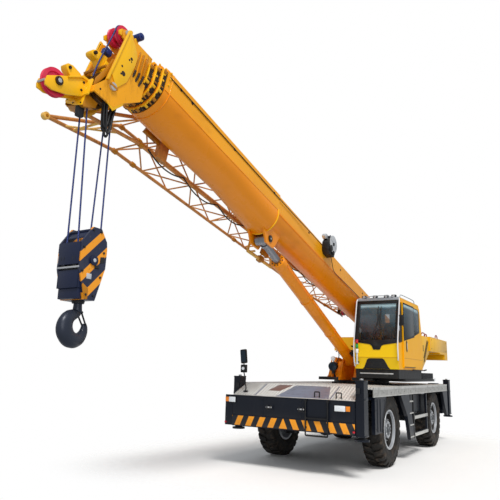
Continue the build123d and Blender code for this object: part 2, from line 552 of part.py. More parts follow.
# ======== Jib ========
with BuildPart() as jib:
    def jib_node(along, edge, x_side):
        """A point on a chord: edge 1 is the upper, 0 the lower; x_side 0 is beside the boom, 1 outside."""
        low = JIB_HEEL_UP + (JIB_TIP_UP - JIB_HEEL_UP) * (JIB_HEEL - along) / (JIB_HEEL - JIB_TIP)
        taper = max(0, (JIB_NECK - along) / (JIB_NECK - JIB_TIP))
        deep = JIB_DEEP + (JIB_TIP_DEEP - JIB_DEEP) * taper
        wide = JIB_WIDE + (JIB_TIP_WIDE - JIB_WIDE) * taper
        middle = JIB_NEAR - JIB_WIDE / 2
        return boom_point(middle + wide * (0.5 - x_side), along, low + deep * edge)

    stations = [JIB_HEEL + (JIB_NECK - JIB_HEEL) * bay / JIB_BAYS for bay in range(JIB_BAYS)]
    stations += [JIB_NECK + (JIB_TIP - JIB_NECK) * bay / JIB_TAPER_BAYS for bay in range(JIB_TAPER_BAYS + 1)]
    for x_side in (0, 1):
        for edge in (0, 1):
            strut(jib_node(JIB_HEEL, edge, x_side), jib_node(JIB_NECK, edge, x_side), CHORD_RADIUS)
            strut(jib_node(JIB_NECK, edge, x_side), jib_node(JIB_TIP, edge, x_side), CHORD_RADIUS)
            strut(jib_node(JIB_HEEL, edge, x_side),
                  boom_point(JIB_NEAR - JIB_WIDE * x_side, JIB_FORK, JIB_FORK_UP), CHORD_RADIUS)
    for bay, (start, end) in enumerate(zip(stations, stations[1:])):
        up = bay % 2
        for x_side in (0, 1):
            strut(jib_node(start, up, x_side), jib_node(end, 1 - up, x_side), LACE_RADIUS)
        for edge in (0, 1):
            strut(jib_node(start, edge, up), jib_node(end, edge, 1 - up), LACE_RADIUS)
    for station in stations:
        for edge in (0, 1):
            strut(jib_node(station, edge, 0), jib_node(station, edge, 1), LACE_RADIUS)
    for along, half in ((8650, BOOM_HALF + DOUBLER_THICK), (5900, BOOM_HALF), (1800, BOOM_HALF)):
        low = JIB_HEEL_UP + (JIB_TIP_UP - JIB_HEEL_UP) * (JIB_HEEL - along) / (JIB_HEEL - JIB_TIP)
        boom_plate(((along - 90, low - 30), (along - 90, 180), (along + 90, 180), (along + 90, low - 30)),
                   JIB_NEAR - 5, -half - RUN)
save(jib.part, "jib_lattice")

# ======== Luffing cylinder ========
eye = Vector(*boom_point(0, EYE_ALONG, EYE_BELOW))
foot_point = Vector(0, FOOT_Y, FOOT_Z)
run_down = (foot_point - eye)
cylinder_length = run_down.length
rod_plane = Plane(origin=eye, x_dir=(1, 0, 0), z_dir=run_down)
with BuildPart() as luff_rod:
    with BuildSketch(rod_plane) as rod_round:
        Circle(ROD_RADIUS)
    extrude(rod_round.sketch, amount=cylinder_length - 750)
    boom_disc(EYE_ALONG, EYE_BELOW, EYE_RADIUS, -EYE_HALF, EYE_HALF)
    boom_disc(EYE_ALONG, EYE_BELOW, 40, -EYE_LUG_IN - EYE_LUG, EYE_LUG_IN + EYE_LUG)
save(luff_rod.part, "luff_rod")

with BuildPart() as luff_barrel:
    with BuildSketch(rod_plane.offset(BARREL_TOP_GAP)) as barrel_round:
        Circle(BARREL_RADIUS)
    extrude(barrel_round.sketch, amount=cylinder_length - BARREL_TOP_GAP - 130)
    with BuildSketch(rod_plane.offset(BARREL_TOP_GAP - 1)) as bore_round:
        Circle(ROD_RADIUS + RUN)
    extrude(bore_round.sketch, amount=cylinder_length - BARREL_TOP_GAP - 180, mode=Mode.SUBTRACT)
    with BuildSketch(Plane.YZ.offset(-LUG_IN + 12)) as foot_round:
        with Locations((FOOT_Y, FOOT_Z)):
            Circle(90)
    extrude(foot_round.sketch, amount=2 * (LUG_IN - 12))
    with BuildSketch(rod_plane.offset(cylinder_length - 140)) as neck:
        Rectangle(180, 150)
    extrude(neck.sketch, amount=100)
save(luff_barrel.part, "luff_barrel")

# ======== Hoist rope and hook block ========
SHEAVE_POINT = boom_point(0, SHEAVE_ALONG, SHEAVE_BELOW)
FALL_Y = SHEAVE_POINT[1]
ROPE_TOP = SHEAVE_POINT[2]
with BuildPart() as rope_falls:
    for x in (-FALL_X, FALL_X):
        for side in (-1, 1):
            with Locations((x, FALL_Y + side * (SHEAVE_RADIUS + ROPE_RADIUS + RUN),
                            (ROPE_TOP + BLOCK_SHEAVE_Z) / 2)):
                Cylinder(ROPE_RADIUS, ROPE_TOP - BLOCK_SHEAVE_Z)
save(rope_falls.part, "rope_falls")

with BuildPart() as hook_block:
    for side in (-1, 1):
        side_plate(((FALL_Y - 170, 2860), (FALL_Y - 35, BLOCK_TOP), (FALL_Y + 80, BLOCK_TOP),
                    (FALL_Y + 165, 2920),
                    (FALL_Y + 176, 2840), (FALL_Y + 170, 2640), (FALL_Y + 60, BLOCK_BOTTOM),
                    (FALL_Y - 88, BLOCK_BOTTOM),
                    (FALL_Y - 170, 2600)),
                   *sorted((side * (BLOCK_HALF - BLOCK_CHEEK), side * BLOCK_HALF)))
        with BuildSketch(Plane.YZ.offset(side * FALL_X - SHEAVE_THICK / 2)) as block_sheave:
            with Locations((FALL_Y, BLOCK_SHEAVE_Z)):
                Circle(SHEAVE_RADIUS)
        extrude(block_sheave.sketch, amount=SHEAVE_THICK)
    block((-BLOCK_HALF, BLOCK_HALF), (FALL_Y - 85, FALL_Y + 58), (BLOCK_BOTTOM, BLOCK_BOTTOM + 140))
    with BuildSketch(Plane.YZ.offset(-BLOCK_HALF - 15)) as block_pin:
        with Locations((FALL_Y, BLOCK_SHEAVE_Z)):
            Circle(35)
    extrude(block_pin.sketch, amount=2 * (BLOCK_HALF + 15))
save(hook_block.part, "hook_block")

hook_plane = Plane(origin=(0, FALL_Y, HOOK_Z), x_dir=(cos(radians(HOOK_TURN)), sin(radians(HOOK_TURN)), 0),
                   z_dir=(sin(radians(HOOK_TURN)), -cos(radians(HOOK_TURN)), 0))
with BuildPart() as hook:
    with BuildLine(hook_plane) as bowl:
        CenterArc((0, 0), HOOK_RADIUS, 95, 290)
    with BuildSketch(Plane(origin=bowl.line @ 0, x_dir=hook_plane.z_dir, z_dir=bowl.line % 0)):
        Ellipse(HOOK_WIDE, HOOK_THICK)
    sweep(path=bowl.line)
    with Locations((0, FALL_Y, HOOK_Z + HOOK_RADIUS - 20)):
        Cylinder(42, BLOCK_BOTTOM - RUN - HOOK_Z - HOOK_RADIUS + 20,
                 align=(Align.CENTER, Align.CENTER, Align.MIN))
save(hook.part, "hook")
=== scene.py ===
import json
import math
from functools import partialmethod

import bmesh
import bpy
from bpy.props import FloatProperty, FloatVectorProperty, IntProperty, PointerProperty
from mathutils import Matrix, Vector


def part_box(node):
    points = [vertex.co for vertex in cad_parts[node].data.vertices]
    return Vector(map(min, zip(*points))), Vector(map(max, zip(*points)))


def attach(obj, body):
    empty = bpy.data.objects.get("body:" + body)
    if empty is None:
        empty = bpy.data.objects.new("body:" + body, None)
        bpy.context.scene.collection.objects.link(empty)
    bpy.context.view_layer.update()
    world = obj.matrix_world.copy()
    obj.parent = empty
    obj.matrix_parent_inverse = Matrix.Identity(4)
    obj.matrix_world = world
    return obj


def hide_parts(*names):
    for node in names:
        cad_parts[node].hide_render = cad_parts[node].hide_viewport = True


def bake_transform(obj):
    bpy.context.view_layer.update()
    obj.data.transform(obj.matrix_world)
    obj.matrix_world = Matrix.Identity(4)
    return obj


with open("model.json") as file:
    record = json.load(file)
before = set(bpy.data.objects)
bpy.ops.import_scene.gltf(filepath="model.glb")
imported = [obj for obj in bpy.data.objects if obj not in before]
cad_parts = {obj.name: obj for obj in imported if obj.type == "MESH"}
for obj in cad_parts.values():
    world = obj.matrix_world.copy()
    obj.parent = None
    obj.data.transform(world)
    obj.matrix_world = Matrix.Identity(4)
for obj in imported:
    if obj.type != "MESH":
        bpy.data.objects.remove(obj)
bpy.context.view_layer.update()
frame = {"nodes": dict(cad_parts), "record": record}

bl_info = {
    "name": "Rough-terrain crane looks",
    "version": (1, 0, 0),
    "blender": (4, 5, 0),
    "location": "3D View > Sidebar > Crane",
    "description": "Builds the finishes and fine pieces of a two-axle mobile crane around its packed frame",
    "category": "Object",
}

NODES = frame["nodes"]
SLOT_OF = {part["node"]: part["material_slot"] for part in frame["record"]["subparts"]}

# Stations run rearward from the front axle; AXLE is that axle's Y in the frame. Lengths are in metres.
AXLE = 0.881
WHEELBASE = 3.655
HUB_HEIGHT = 0.654
FLANK = 1.322
REAR = AXLE + 5.41
PIVOT = Vector((0, AXLE + 3.4, 2.7))
LUFF = math.radians(13.4)
ALONG = Vector((0, -math.cos(LUFF), math.sin(LUFF)))
ABOVE = Vector((0, math.sin(LUFF), math.cos(LUFF)))
LEFT = Vector((1, 0, 0))
UP = Vector((0, 0, 1))

# Sheaves by their place along and above the boom's line, and winch drums by station and height.
HEAD_SHEAVE = (10.147, -0.45)
GUIDE_SHEAVE = (10.11, 0.39)
AUXILIARY_SHEAVE = (10.67, -0.764)
MAIN_DRUM = (4.85, 2.246)
AUXILIARY_DRUM = (4.33, 2.225)
SHEAVE = PIVOT + HEAD_SHEAVE[0] * ALONG + HEAD_SHEAVE[1] * ABOVE


def at(x, station, z):
    """A point from its station behind the front axle."""
    return Vector((x, station + AXLE, z))


def boom_at(x, along, up):
    """A point in boom measures: metres along from the pivot and square above its line."""
    return PIVOT + LEFT * x + ALONG * along + ABOVE * up


def path(place, *points):
    """The points of a line, each put into the frame by at or boom_at."""
    return [place(*point) for point in points]


WHEELS = {(end, hand): at(1.063 if hand == "left" else -1.063, WHEELBASE if end == "rear" else 0,
    HUB_HEIGHT) for end in ("front", "rear") for hand in ("left", "right")}


def linear(code):
    """The linear colour of a six-figure sRGB code. A colour that is linear already passes through."""
    if not isinstance(code, str):
        return code
    parts = [int(code[i:i + 2], 16) / 255 for i in (0, 2, 4)]
    return tuple(c / 12.92 if c <= 0.04045 else ((c + 0.055) / 1.055) ** 2.4 for c in parts)


def swatch(label, code, note):
    return FloatVectorProperty(name=label, description=note, subtype="COLOR", size=3, min=0, max=1,
        default=linear(code))


def length(label, metres, note):
    return FloatProperty(name=label, description=note, unit="LENGTH", subtype="DISTANCE", min=0,
        default=metres)


class CraneColours(bpy.types.PropertyGroup):
    """Colours of the finishes"""
    boom: swatch("Boom paint", "FCA80E", "Golden paint of the boom, jib lugs and cylinder")
    cab: swatch("Cab paint", "FFD00A", "Yellow paint of the cab and rear covers")
    carrier: swatch("Carrier paint", "0D131F", "Blue-black paint of the frame, boxes and front panel")
    jib: swatch("Jib paint", "D08E4A", "Faded orange paint of the lattice jib")
    block: swatch("Block paint", "1B2440", "Navy paint of the hook block")
    hook: swatch("Hook steel", "2E3442", "Dark painted forging of the hook")
    hazard: swatch("Hazard band", "FBA21A", "Orange of the diagonal warning bands")
    plate: swatch("Tread plate", "E2E2DE", "Worn light alloy of the deck plates")
    rim: swatch("Rim paint", "AEB2B8", "Silver paint of the wheel rims")
    rubber: swatch("Rubber", "1A1816", "Brownish black of the tyres")
    sheave: swatch("Sheave nylon", "D8274E", "Red cast nylon of the sheaves")
    rope: swatch("Rope wire", "3C4A86", "Greased wire rope")
    trim: swatch("Black trim", "0B0C0F", "Black plastic, rubber seals and steps")


class CraneSizes(bpy.types.PropertyGroup):
    """Sizes of the fine pieces"""
    lug_count: IntProperty(name="Tread lugs", description="Lugs round each shoulder of a tyre", min=8,
        max=60, default=26)
    lug_depth: length("Tread depth", 0.024, "Depth of the grooves between the lugs")
    nut_count: IntProperty(name="Wheel nuts", description="Nuts round each hub", min=4, max=20, default=10)
    rope_radius: length("Rope radius", 0.009, "Radius of the hoist rope")
    hose_radius: length("Hose radius", 0.016, "Radius of the hydraulic hoses")


class Link:
    """One shader socket. Sums and products of links add Math nodes."""

    def __init__(self, finish, socket):
        self.finish = finish
        self.socket = socket

    def math(self, operation, *others, clamp=False):
        return self.finish.add("ShaderNodeMath", {"operation": operation, "use_clamp": clamp},
            dict(enumerate((self, *others))))

    def __rsub__(self, other):
        return self.finish.add("ShaderNodeMath", {"operation": "SUBTRACT"}, {0: other, 1: self})

    def floored(self):
        return self.math("MAXIMUM", 0.0)

    def clamped(self):
        return self.math("ADD", 0.0, clamp=True)


for name, operation in (("add", "ADD"), ("radd", "ADD"), ("mul", "MULTIPLY"), ("rmul", "MULTIPLY"),
        ("sub", "SUBTRACT"), ("truediv", "DIVIDE"), ("mod", "FLOORED_MODULO"), ("abs", "ABSOLUTE"),
        ("lt", "LESS_THAN"), ("gt", "GREATER_THAN")):
    setattr(Link, f"__{name}__", partialmethod(Link.math, operation))

FINISH = {}


class Finish:
    """A material and the nodes in it, entered in FINISH under its name."""

    def __init__(self, name, **constants):
        self.material = FINISH[name] = bpy.data.materials.new(name)
        self.material.use_nodes = True
        self.tree = self.material.node_tree
        self.shader = next(n for n in self.tree.nodes if n.type == "BSDF_PRINCIPLED")
        for socket, value in constants.items():
            self.shader.inputs[socket.replace("_", " ")].default_value = value
        self.object = self.add("ShaderNodeTexCoord", out="Object")

    def add(self, kind, settings=None, sockets=None, out=0):
        node = self.tree.nodes.new(kind)
        for name, value in (settings or {}).items():
            setattr(node, name, value)
        for name, value in (sockets or {}).items():
            if isinstance(value, Link):
                self.tree.links.new(value.socket, node.inputs[name])
            else:
                node.inputs[name].default_value = value
        return Link(self, node.outputs[out])

    def feed(self, **links):
        for socket, link in links.items():
            self.tree.links.new(link.socket, self.shader.inputs[socket.replace("_", " ")])

    def axis(self, letter, vector=None):
        return self.add("ShaderNodeSeparateXYZ", None, {0: vector or self.object}, letter)

    def stretched(self, x, y, z):
        return self.add("ShaderNodeMapping", {"vector_type": "POINT"},
            {"Vector": self.object, "Scale": (x, y, z)})

    def noise(self, scale, detail=3, roughness=0.6, vector=None):
        return self.add("ShaderNodeTexNoise", {"noise_dimensions": "3D"},
            {"Vector": vector or self.object, "Scale": scale, "Detail": detail, "Roughness": roughness})

    def step(self, value, low, high, start=0.0, end=1.0):
        return self.add("ShaderNodeMapRange", {"interpolation_type": "SMOOTHSTEP"},
            {"Value": value, "From Min": low, "From Max": high, "To Min": start, "To Max": end})

    def blend(self, factor, first, second, mode="MIX"):
        first, second = [c if isinstance(c, Link) else (*linear(c), 1) for c in (first, second)]
        return self.add("ShaderNodeMix", {"data_type": "RGBA", "blend_type": mode},
            {0: factor, 6: first, 7: second}, 2)

    def bump(self, height, distance, strength=1.0):
        return self.add("ShaderNodeBump", None, {"Height": height, "Distance": distance,
            "Strength": strength})


def shade(colour, factor):
    return tuple(min(1.0, c * factor) for c in linear(colour))


def paint(name, colour, rough=0.32, coat=0.35, grime=(0.1, 0.07, 0.05), amount=0.5, metal=0.0):
    """Enamel with a slow drift of tone, road dust in streaks, fine specks and orange peel."""
    f = Finish(name, Coat_Roughness=0.12, Specular_IOR_Level=0.28)
    drift = f.noise(0.9, 2, 0.5)
    tone = f.blend(f.step(drift, 0.3, 0.7), shade(colour, 0.93), shade(colour, 1.05))
    streaks = f.step(f.noise(2.2, 5, 0.68, f.stretched(2.4, 2.4, 0.45)), 0.53, 0.8)
    specks = f.step(f.noise(70, 2, 0.5), 0.68, 0.78)
    dirt = (streaks * (0.34 * amount) + specks * (0.3 * amount)).clamped()
    f.feed(Base_Color=f.blend(dirt, tone, grime),
           Roughness=(f.noise(6, 4, 0.6) * 0.16 + dirt * 0.5 + (rough - 0.08)).clamped(),
           Coat_Weight=(coat * 0.45 - dirt * (coat * 0.45)).clamped(),
           Normal=f.bump(f.noise(220, 2, 0.5) * 0.5 + f.noise(3.0, 2, 0.5) * 2.0, 0.0006, 0.35))
    f.shader.inputs["Metallic"].default_value = metal


def boom_paint(name, colour):
    """Golden enamel with painted shade: deeper orange low on the section, where the underside lies in shade.
    Also scuffs and greasy smears.
    """
    f = Finish(name, Coat_Roughness=0.1, Specular_IOR_Level=0.3)
    smear = f.step(f.noise(1.3, 4, 0.7, f.stretched(1.0, 0.45, 1.0)), 0.52, 0.78)
    height = (f.axis("Y") - PIVOT.y) * math.sin(LUFF) + (f.axis("Z") - PIVOT.z) * math.cos(LUFF)
    # Painted shade: low on the section the paint turns a deeper orange (FA960A), as the underside looks in
    # shade; the mask below is 1 on the lit upper part.
    lit_top_mask = f.step(height + f.noise(2.0, 3, 0.6) * 0.06, 0.02, 0.1)
    tone = f.blend(f.step(f.noise(0.7, 2, 0.5), 0.3, 0.7), shade(colour, 0.94), shade(colour, 1.06))
    deep = f.blend(lit_top_mask, "FA960A", tone)
    ochre = f.blend(smear * 0.42, deep, "B4600E")
    chips = f.step(f.noise(38, 3, 0.7), 0.71, 0.74) * f.step(f.noise(1.7, 3, 0.6), 0.5, 0.62)
    f.feed(Base_Color=f.blend(chips * 0.75, ochre, "5A2E10"), Roughness=(f.noise(5, 4, 0.6) * 0.18 + smear
        * 0.12 + chips * 0.3 + 0.2).clamped(), Coat_Weight=(0.16 - smear * 0.1 - chips * 0.1).clamped(),
        Normal=f.bump(f.noise(180, 2, 0.5) * 0.5 + f.noise(2.2, 2, 0.5) * 3.0 - chips * 1.5, 0.0006, 0.4))


def cab_enamel(name, colour):
    """Bright yellow enamel with painted shade on the side panels, which are a deeper golden than the front,
    and with dust streaks and specks.
    """
    f = Finish(name, Coat_Roughness=0.12, Specular_IOR_Level=0.25)
    tone = f.blend(f.step(f.noise(0.9, 2, 0.5), 0.3, 0.7), shade(colour, 0.95), shade(colour, 1.04))
    # Painted shade: the side panels, beyond X 1.246, take a deeper golden tone than the front, broken up by
    # the dust streaks.
    side = f.step(f.axis("X"), 1.246, 1.249)
    streaks = f.step(f.noise(2.4, 5, 0.68, f.stretched(2.4, 2.4, 0.45)), 0.52, 0.78)
    tone_with_side_shade = f.blend(side * (streaks * 0.4 + 0.6), tone, "FFA800")
    dirt = (streaks * 0.1 + f.step(f.noise(70, 2, 0.5), 0.7, 0.8) * 0.12).clamped()
    f.feed(Base_Color=f.blend(dirt, tone_with_side_shade, "6B5A3A"),
           Roughness=(f.noise(6, 4, 0.6) * 0.16 + dirt * 0.5 + side * 0.14 + 0.16).clamped(),
           Coat_Weight=(side * -0.2 + 0.24 - dirt * 0.2).clamped(),
           Normal=f.bump(f.noise(220, 2, 0.5) * 0.5 + f.noise(3.0, 2, 0.5) * 2.0, 0.0006, 0.35))


def jib_paint(name, colour):
    """Faded orange tube paint with rust bleeding at the welds."""
    f = Finish(name, Specular_IOR_Level=0.4)
    rust = f.step(f.noise(5, 5, 0.7), 0.52, 0.72)
    pale = f.blend(f.step(f.noise(14, 3, 0.6), 0.35, 0.65), shade(colour, 0.86), shade(colour, 1.12))
    f.feed(Base_Color=f.blend(rust * 0.55, pale, "8A4A20"),
           Roughness=(f.noise(20, 3, 0.6) * 0.3 + rust * 0.2 + 0.35).clamped(),
           Normal=f.bump(f.noise(90, 4, 0.6), 0.001, 0.5))


def rubber(name, colour):
    """Tyre rubber with dried mud in the grooves and fine moulding lines."""
    f = Finish(name, Specular_IOR_Level=0.35)
    mud = f.step(f.noise(7, 5, 0.7), 0.48, 0.72)
    f.feed(Base_Color=f.blend(mud * 0.5, f.blend(f.noise(30, 3, 0.6), shade(colour, 0.7),
        shade(colour, 1.25)), "6A5A4C"), Roughness=(f.noise(24, 3, 0.6) * 0.25 + mud * 0.15
        + 0.55).clamped(), Normal=f.bump(f.noise(160, 3, 0.6) + f.noise(18, 4, 0.6) * 2, 0.0015, 0.6))


def bare_metal(name, colour, rough, scale=1.0, metallic=1.0):
    """Metal with fine grain, stains and a spread of gloss."""
    f = Finish(name, Metallic=metallic)
    stain = f.step(f.noise(4 * scale, 5, 0.65), 0.45, 0.75)
    f.feed(Base_Color=f.blend(stain, colour, shade(colour, 0.62)),
           Roughness=(f.noise(40 * scale, 3, 0.6) * 0.22 + stain * 0.2 + rough).clamped(),
           Normal=f.bump(f.noise(240 * scale, 2, 0.5), 0.0005, 0.35))


def tread_plate(name, colour):
    """Floor plate with raised lozenges that turn from cell to cell; the lozenges are painted dark as shade on
    the light plate, with dirt in patches. Its rims are plain.
    """
    f = Finish(name, Metallic=0.25, Specular_IOR_Level=0.4)
    pitch = 0.056
    x, y, z = (f.axis(letter) for letter in ("X", "Y", "Z"))
    across, down = x / pitch, (y + z * 1.7) / pitch
    parity = ((across - across % 1) + (down - down % 1)) % 2
    u, v = across % 1 - 0.5, down % 1 - 0.5
    long_way = abs(u + v) * parity + abs(u - v) * (1 - parity)
    short_way = abs(u - v) * parity + abs(u + v) * (1 - parity)
    flat = 1.0 - (abs(x) > 1.297) * (z < 1.4245)
    bars = f.step(long_way * 0.55 + short_way * 1.6, 0.3, 0.44, 1.0, 0.0) * flat
    dirt = f.step(f.noise(3.2, 5, 0.7), 0.45, 0.8)
    base = f.blend(dirt * 0.4, shade(colour, 1.05), "9C958A")
    # Painted shade: the raised lozenges are drawn dark on the light plate.
    shaded_lozenges = f.blend(bars * 0.92, base, "3A3734")
    rim = f.blend(f.step(f.noise(9, 4, 0.7), 0.42, 0.72) * 0.6, shade(colour, 0.62), "74726C")
    f.feed(Base_Color=f.blend(flat, rim, shaded_lozenges), Roughness=(f.noise(30, 3, 0.6) * 0.2 + dirt * 0.2
        + 0.34).clamped(), Normal=f.bump(bars + f.noise(120, 2, 0.5) * 0.15, 0.004, 0.8))


def deck_metal(name, colour):
    """Smooth alloy panel, scuffed by boots. Its colour carries painted reflection: blue-grey sky sheen on the
    slope panel, the boom's brown on the patch beside it.
    """
    f = Finish(name, Metallic=0.55, Specular_IOR_Level=0.5)
    scuff = f.step(f.noise(6, 6, 0.72, f.stretched(1.0, 3.0, 1.0)), 0.5, 0.72)
    f.feed(Base_Color=f.blend(scuff * 0.6, colour, "6E6A68"),
           Roughness=(f.noise(15, 4, 0.6) * 0.25 + scuff * 0.25 + 0.22).clamped(),
           Normal=f.bump(f.noise(60, 3, 0.6), 0.0008, 0.4))


def stripes(name, bright, dark, pitch, middle=None, rise=1.0, along="X", share=0.5):
    """Diagonal warning stripes. With a middle they lean towards it from both sides."""
    f = Finish(name, Coat_Weight=0.2, Coat_Roughness=0.2)
    across = f.axis(along)
    if middle is not None:
        across = abs(across - middle)
    phase = ((f.axis("Z") * rise + across) / pitch) % 1
    edge = f.noise(60, 3, 0.6) * 0.02
    band = f.step(abs(phase + edge - 0.5), share / 2 - 0.01, share / 2 + 0.01, 1.0, 0.0)
    wear = f.step(f.noise(22, 4, 0.7), 0.62, 0.7)
    dust = f.step(f.noise(3, 4, 0.65), 0.5, 0.8)
    coat = f.blend(band, f.blend(dust * 0.2, dark, "6E655C"), f.blend(f.noise(4, 3, 0.6) * 0.5, bright,
        shade(bright, 0.8)))
    f.feed(Base_Color=f.blend(wear * 0.6, coat, "4A4038"), Roughness=(dust * 0.3 + wear * 0.2
        + 0.3).clamped(), Normal=f.bump(f.noise(150, 2, 0.5) - wear * 2, 0.0005, 0.4))


def wire_rope(name, colour):
    """Stranded wire, the lay seen as short slanting lines, with painted highlight on the crown of each strand
    and painted shade between strands.
    """
    f = Finish(name, Metallic=0.6, Specular_IOR_Level=0.5)
    lay = (f.axis("Z") + f.axis("Y") * 0.35 + f.axis("X") * 0.9) / 0.016 % 1
    # Painted highlight and shade: each strand is pale at its crown and dark at its edges.
    strand = f.step(abs(lay - 0.5), 0.05, 0.35)
    f.feed(Base_Color=f.blend(strand, shade(colour, 1.35), shade(colour, 0.45)),
           Roughness=(f.noise(60, 2, 0.5) * 0.2 + 0.34).clamped(), Normal=f.bump(1 - strand, 0.002, 0.8))


def glazing(name, tint, rough=0.02):
    """Tinted safety glass with faint smears, seen as a dark, glossy sheet with painted sky reflection: paler
    towards the top and a pale blue-white band along its top edge.
    """
    f = Finish(name, IOR=1.5, Specular_IOR_Level=0.6)
    smear = f.step(f.noise(5, 5, 0.7, f.stretched(1.0, 1.0, 3.0)), 0.45, 0.8)
    # Painted reflection: the glass turns paler towards the top and gets a pale blue-white band along its top
    # edge, as the sky seen in it.
    top = f.step(f.axis("Z") + f.noise(2.5, 2, 0.5) * 0.05, 3.02, 3.09)
    sky = f.step(f.axis("Z") + f.noise(1.6, 3, 0.6) * 0.5, 2.55, 3.35)
    body = f.blend(sky * 0.55, f.blend(smear * 0.22, tint, "48586A"), "6F8FA0")
    f.feed(Base_Color=f.blend(top * 0.8, body, "BFE3EE"),
           Roughness=smear * 0.1 + rough, Alpha=(top * 0.35 + smear * 0.1 + 0.5).clamped())
    f.material.surface_render_method = "BLENDED"


def lamp_lens(name, colour, glow=0.12):
    """Moulded lamp lens with prism lines."""
    f = Finish(name, IOR=1.49, Coat_Weight=0.6, Coat_Roughness=0.04, Emission_Strength=glow)
    f.shader.inputs["Emission Color"].default_value = (*linear(colour), 1)
    ribs = f.step(abs(((f.axis("X") + f.axis("Y") + f.axis("Z") * 0.4) / 0.012) % 1 - 0.5), 0.1, 0.4)
    f.feed(Base_Color=f.blend(ribs, shade(colour, 0.75), shade(colour, 1.1)), Roughness=ribs * 0.1 + 0.12,
           Normal=f.bump(ribs, 0.001, 0.6))


def fabric(name, colour):
    """Woven seat cloth with a fine over-and-under weave."""
    f = Finish(name, Specular_IOR_Level=0.25, Sheen_Weight=0.3, Sheen_Roughness=0.5)
    pitch = 0.006
    warp = abs(((f.axis("X") + f.axis("Z") * 0.3) / pitch) % 1 - 0.5)
    weft = abs(((f.axis("Y") + f.axis("Z") * 0.9) / pitch) % 1 - 0.5)
    weave = (warp + weft).clamped()
    f.feed(Base_Color=f.blend(weave, shade(colour, 0.7), shade(colour, 1.15)),
        Roughness=weave * 0.15 + 0.72, Normal=f.bump(weave, 0.001, 0.6))


def plastic(name, colour, rough=0.45):
    """Moulded or rubbery black parts with dust lying on them and a fine grain."""
    f = Finish(name, Specular_IOR_Level=0.45)
    dust = f.step(f.noise(6, 5, 0.7), 0.5, 0.8)
    f.feed(Base_Color=f.blend(dust * 0.35, f.blend(f.noise(12, 2, 0.5), shade(colour, 0.8),
        shade(colour, 1.3)), "5B5550"), Roughness=(f.noise(40, 3, 0.6) * 0.2 + dust * 0.2 + rough
        - 0.1).clamped(), Normal=f.bump(f.noise(260, 2, 0.5), 0.0006, 0.4))


BOLT = (6, 0.002)


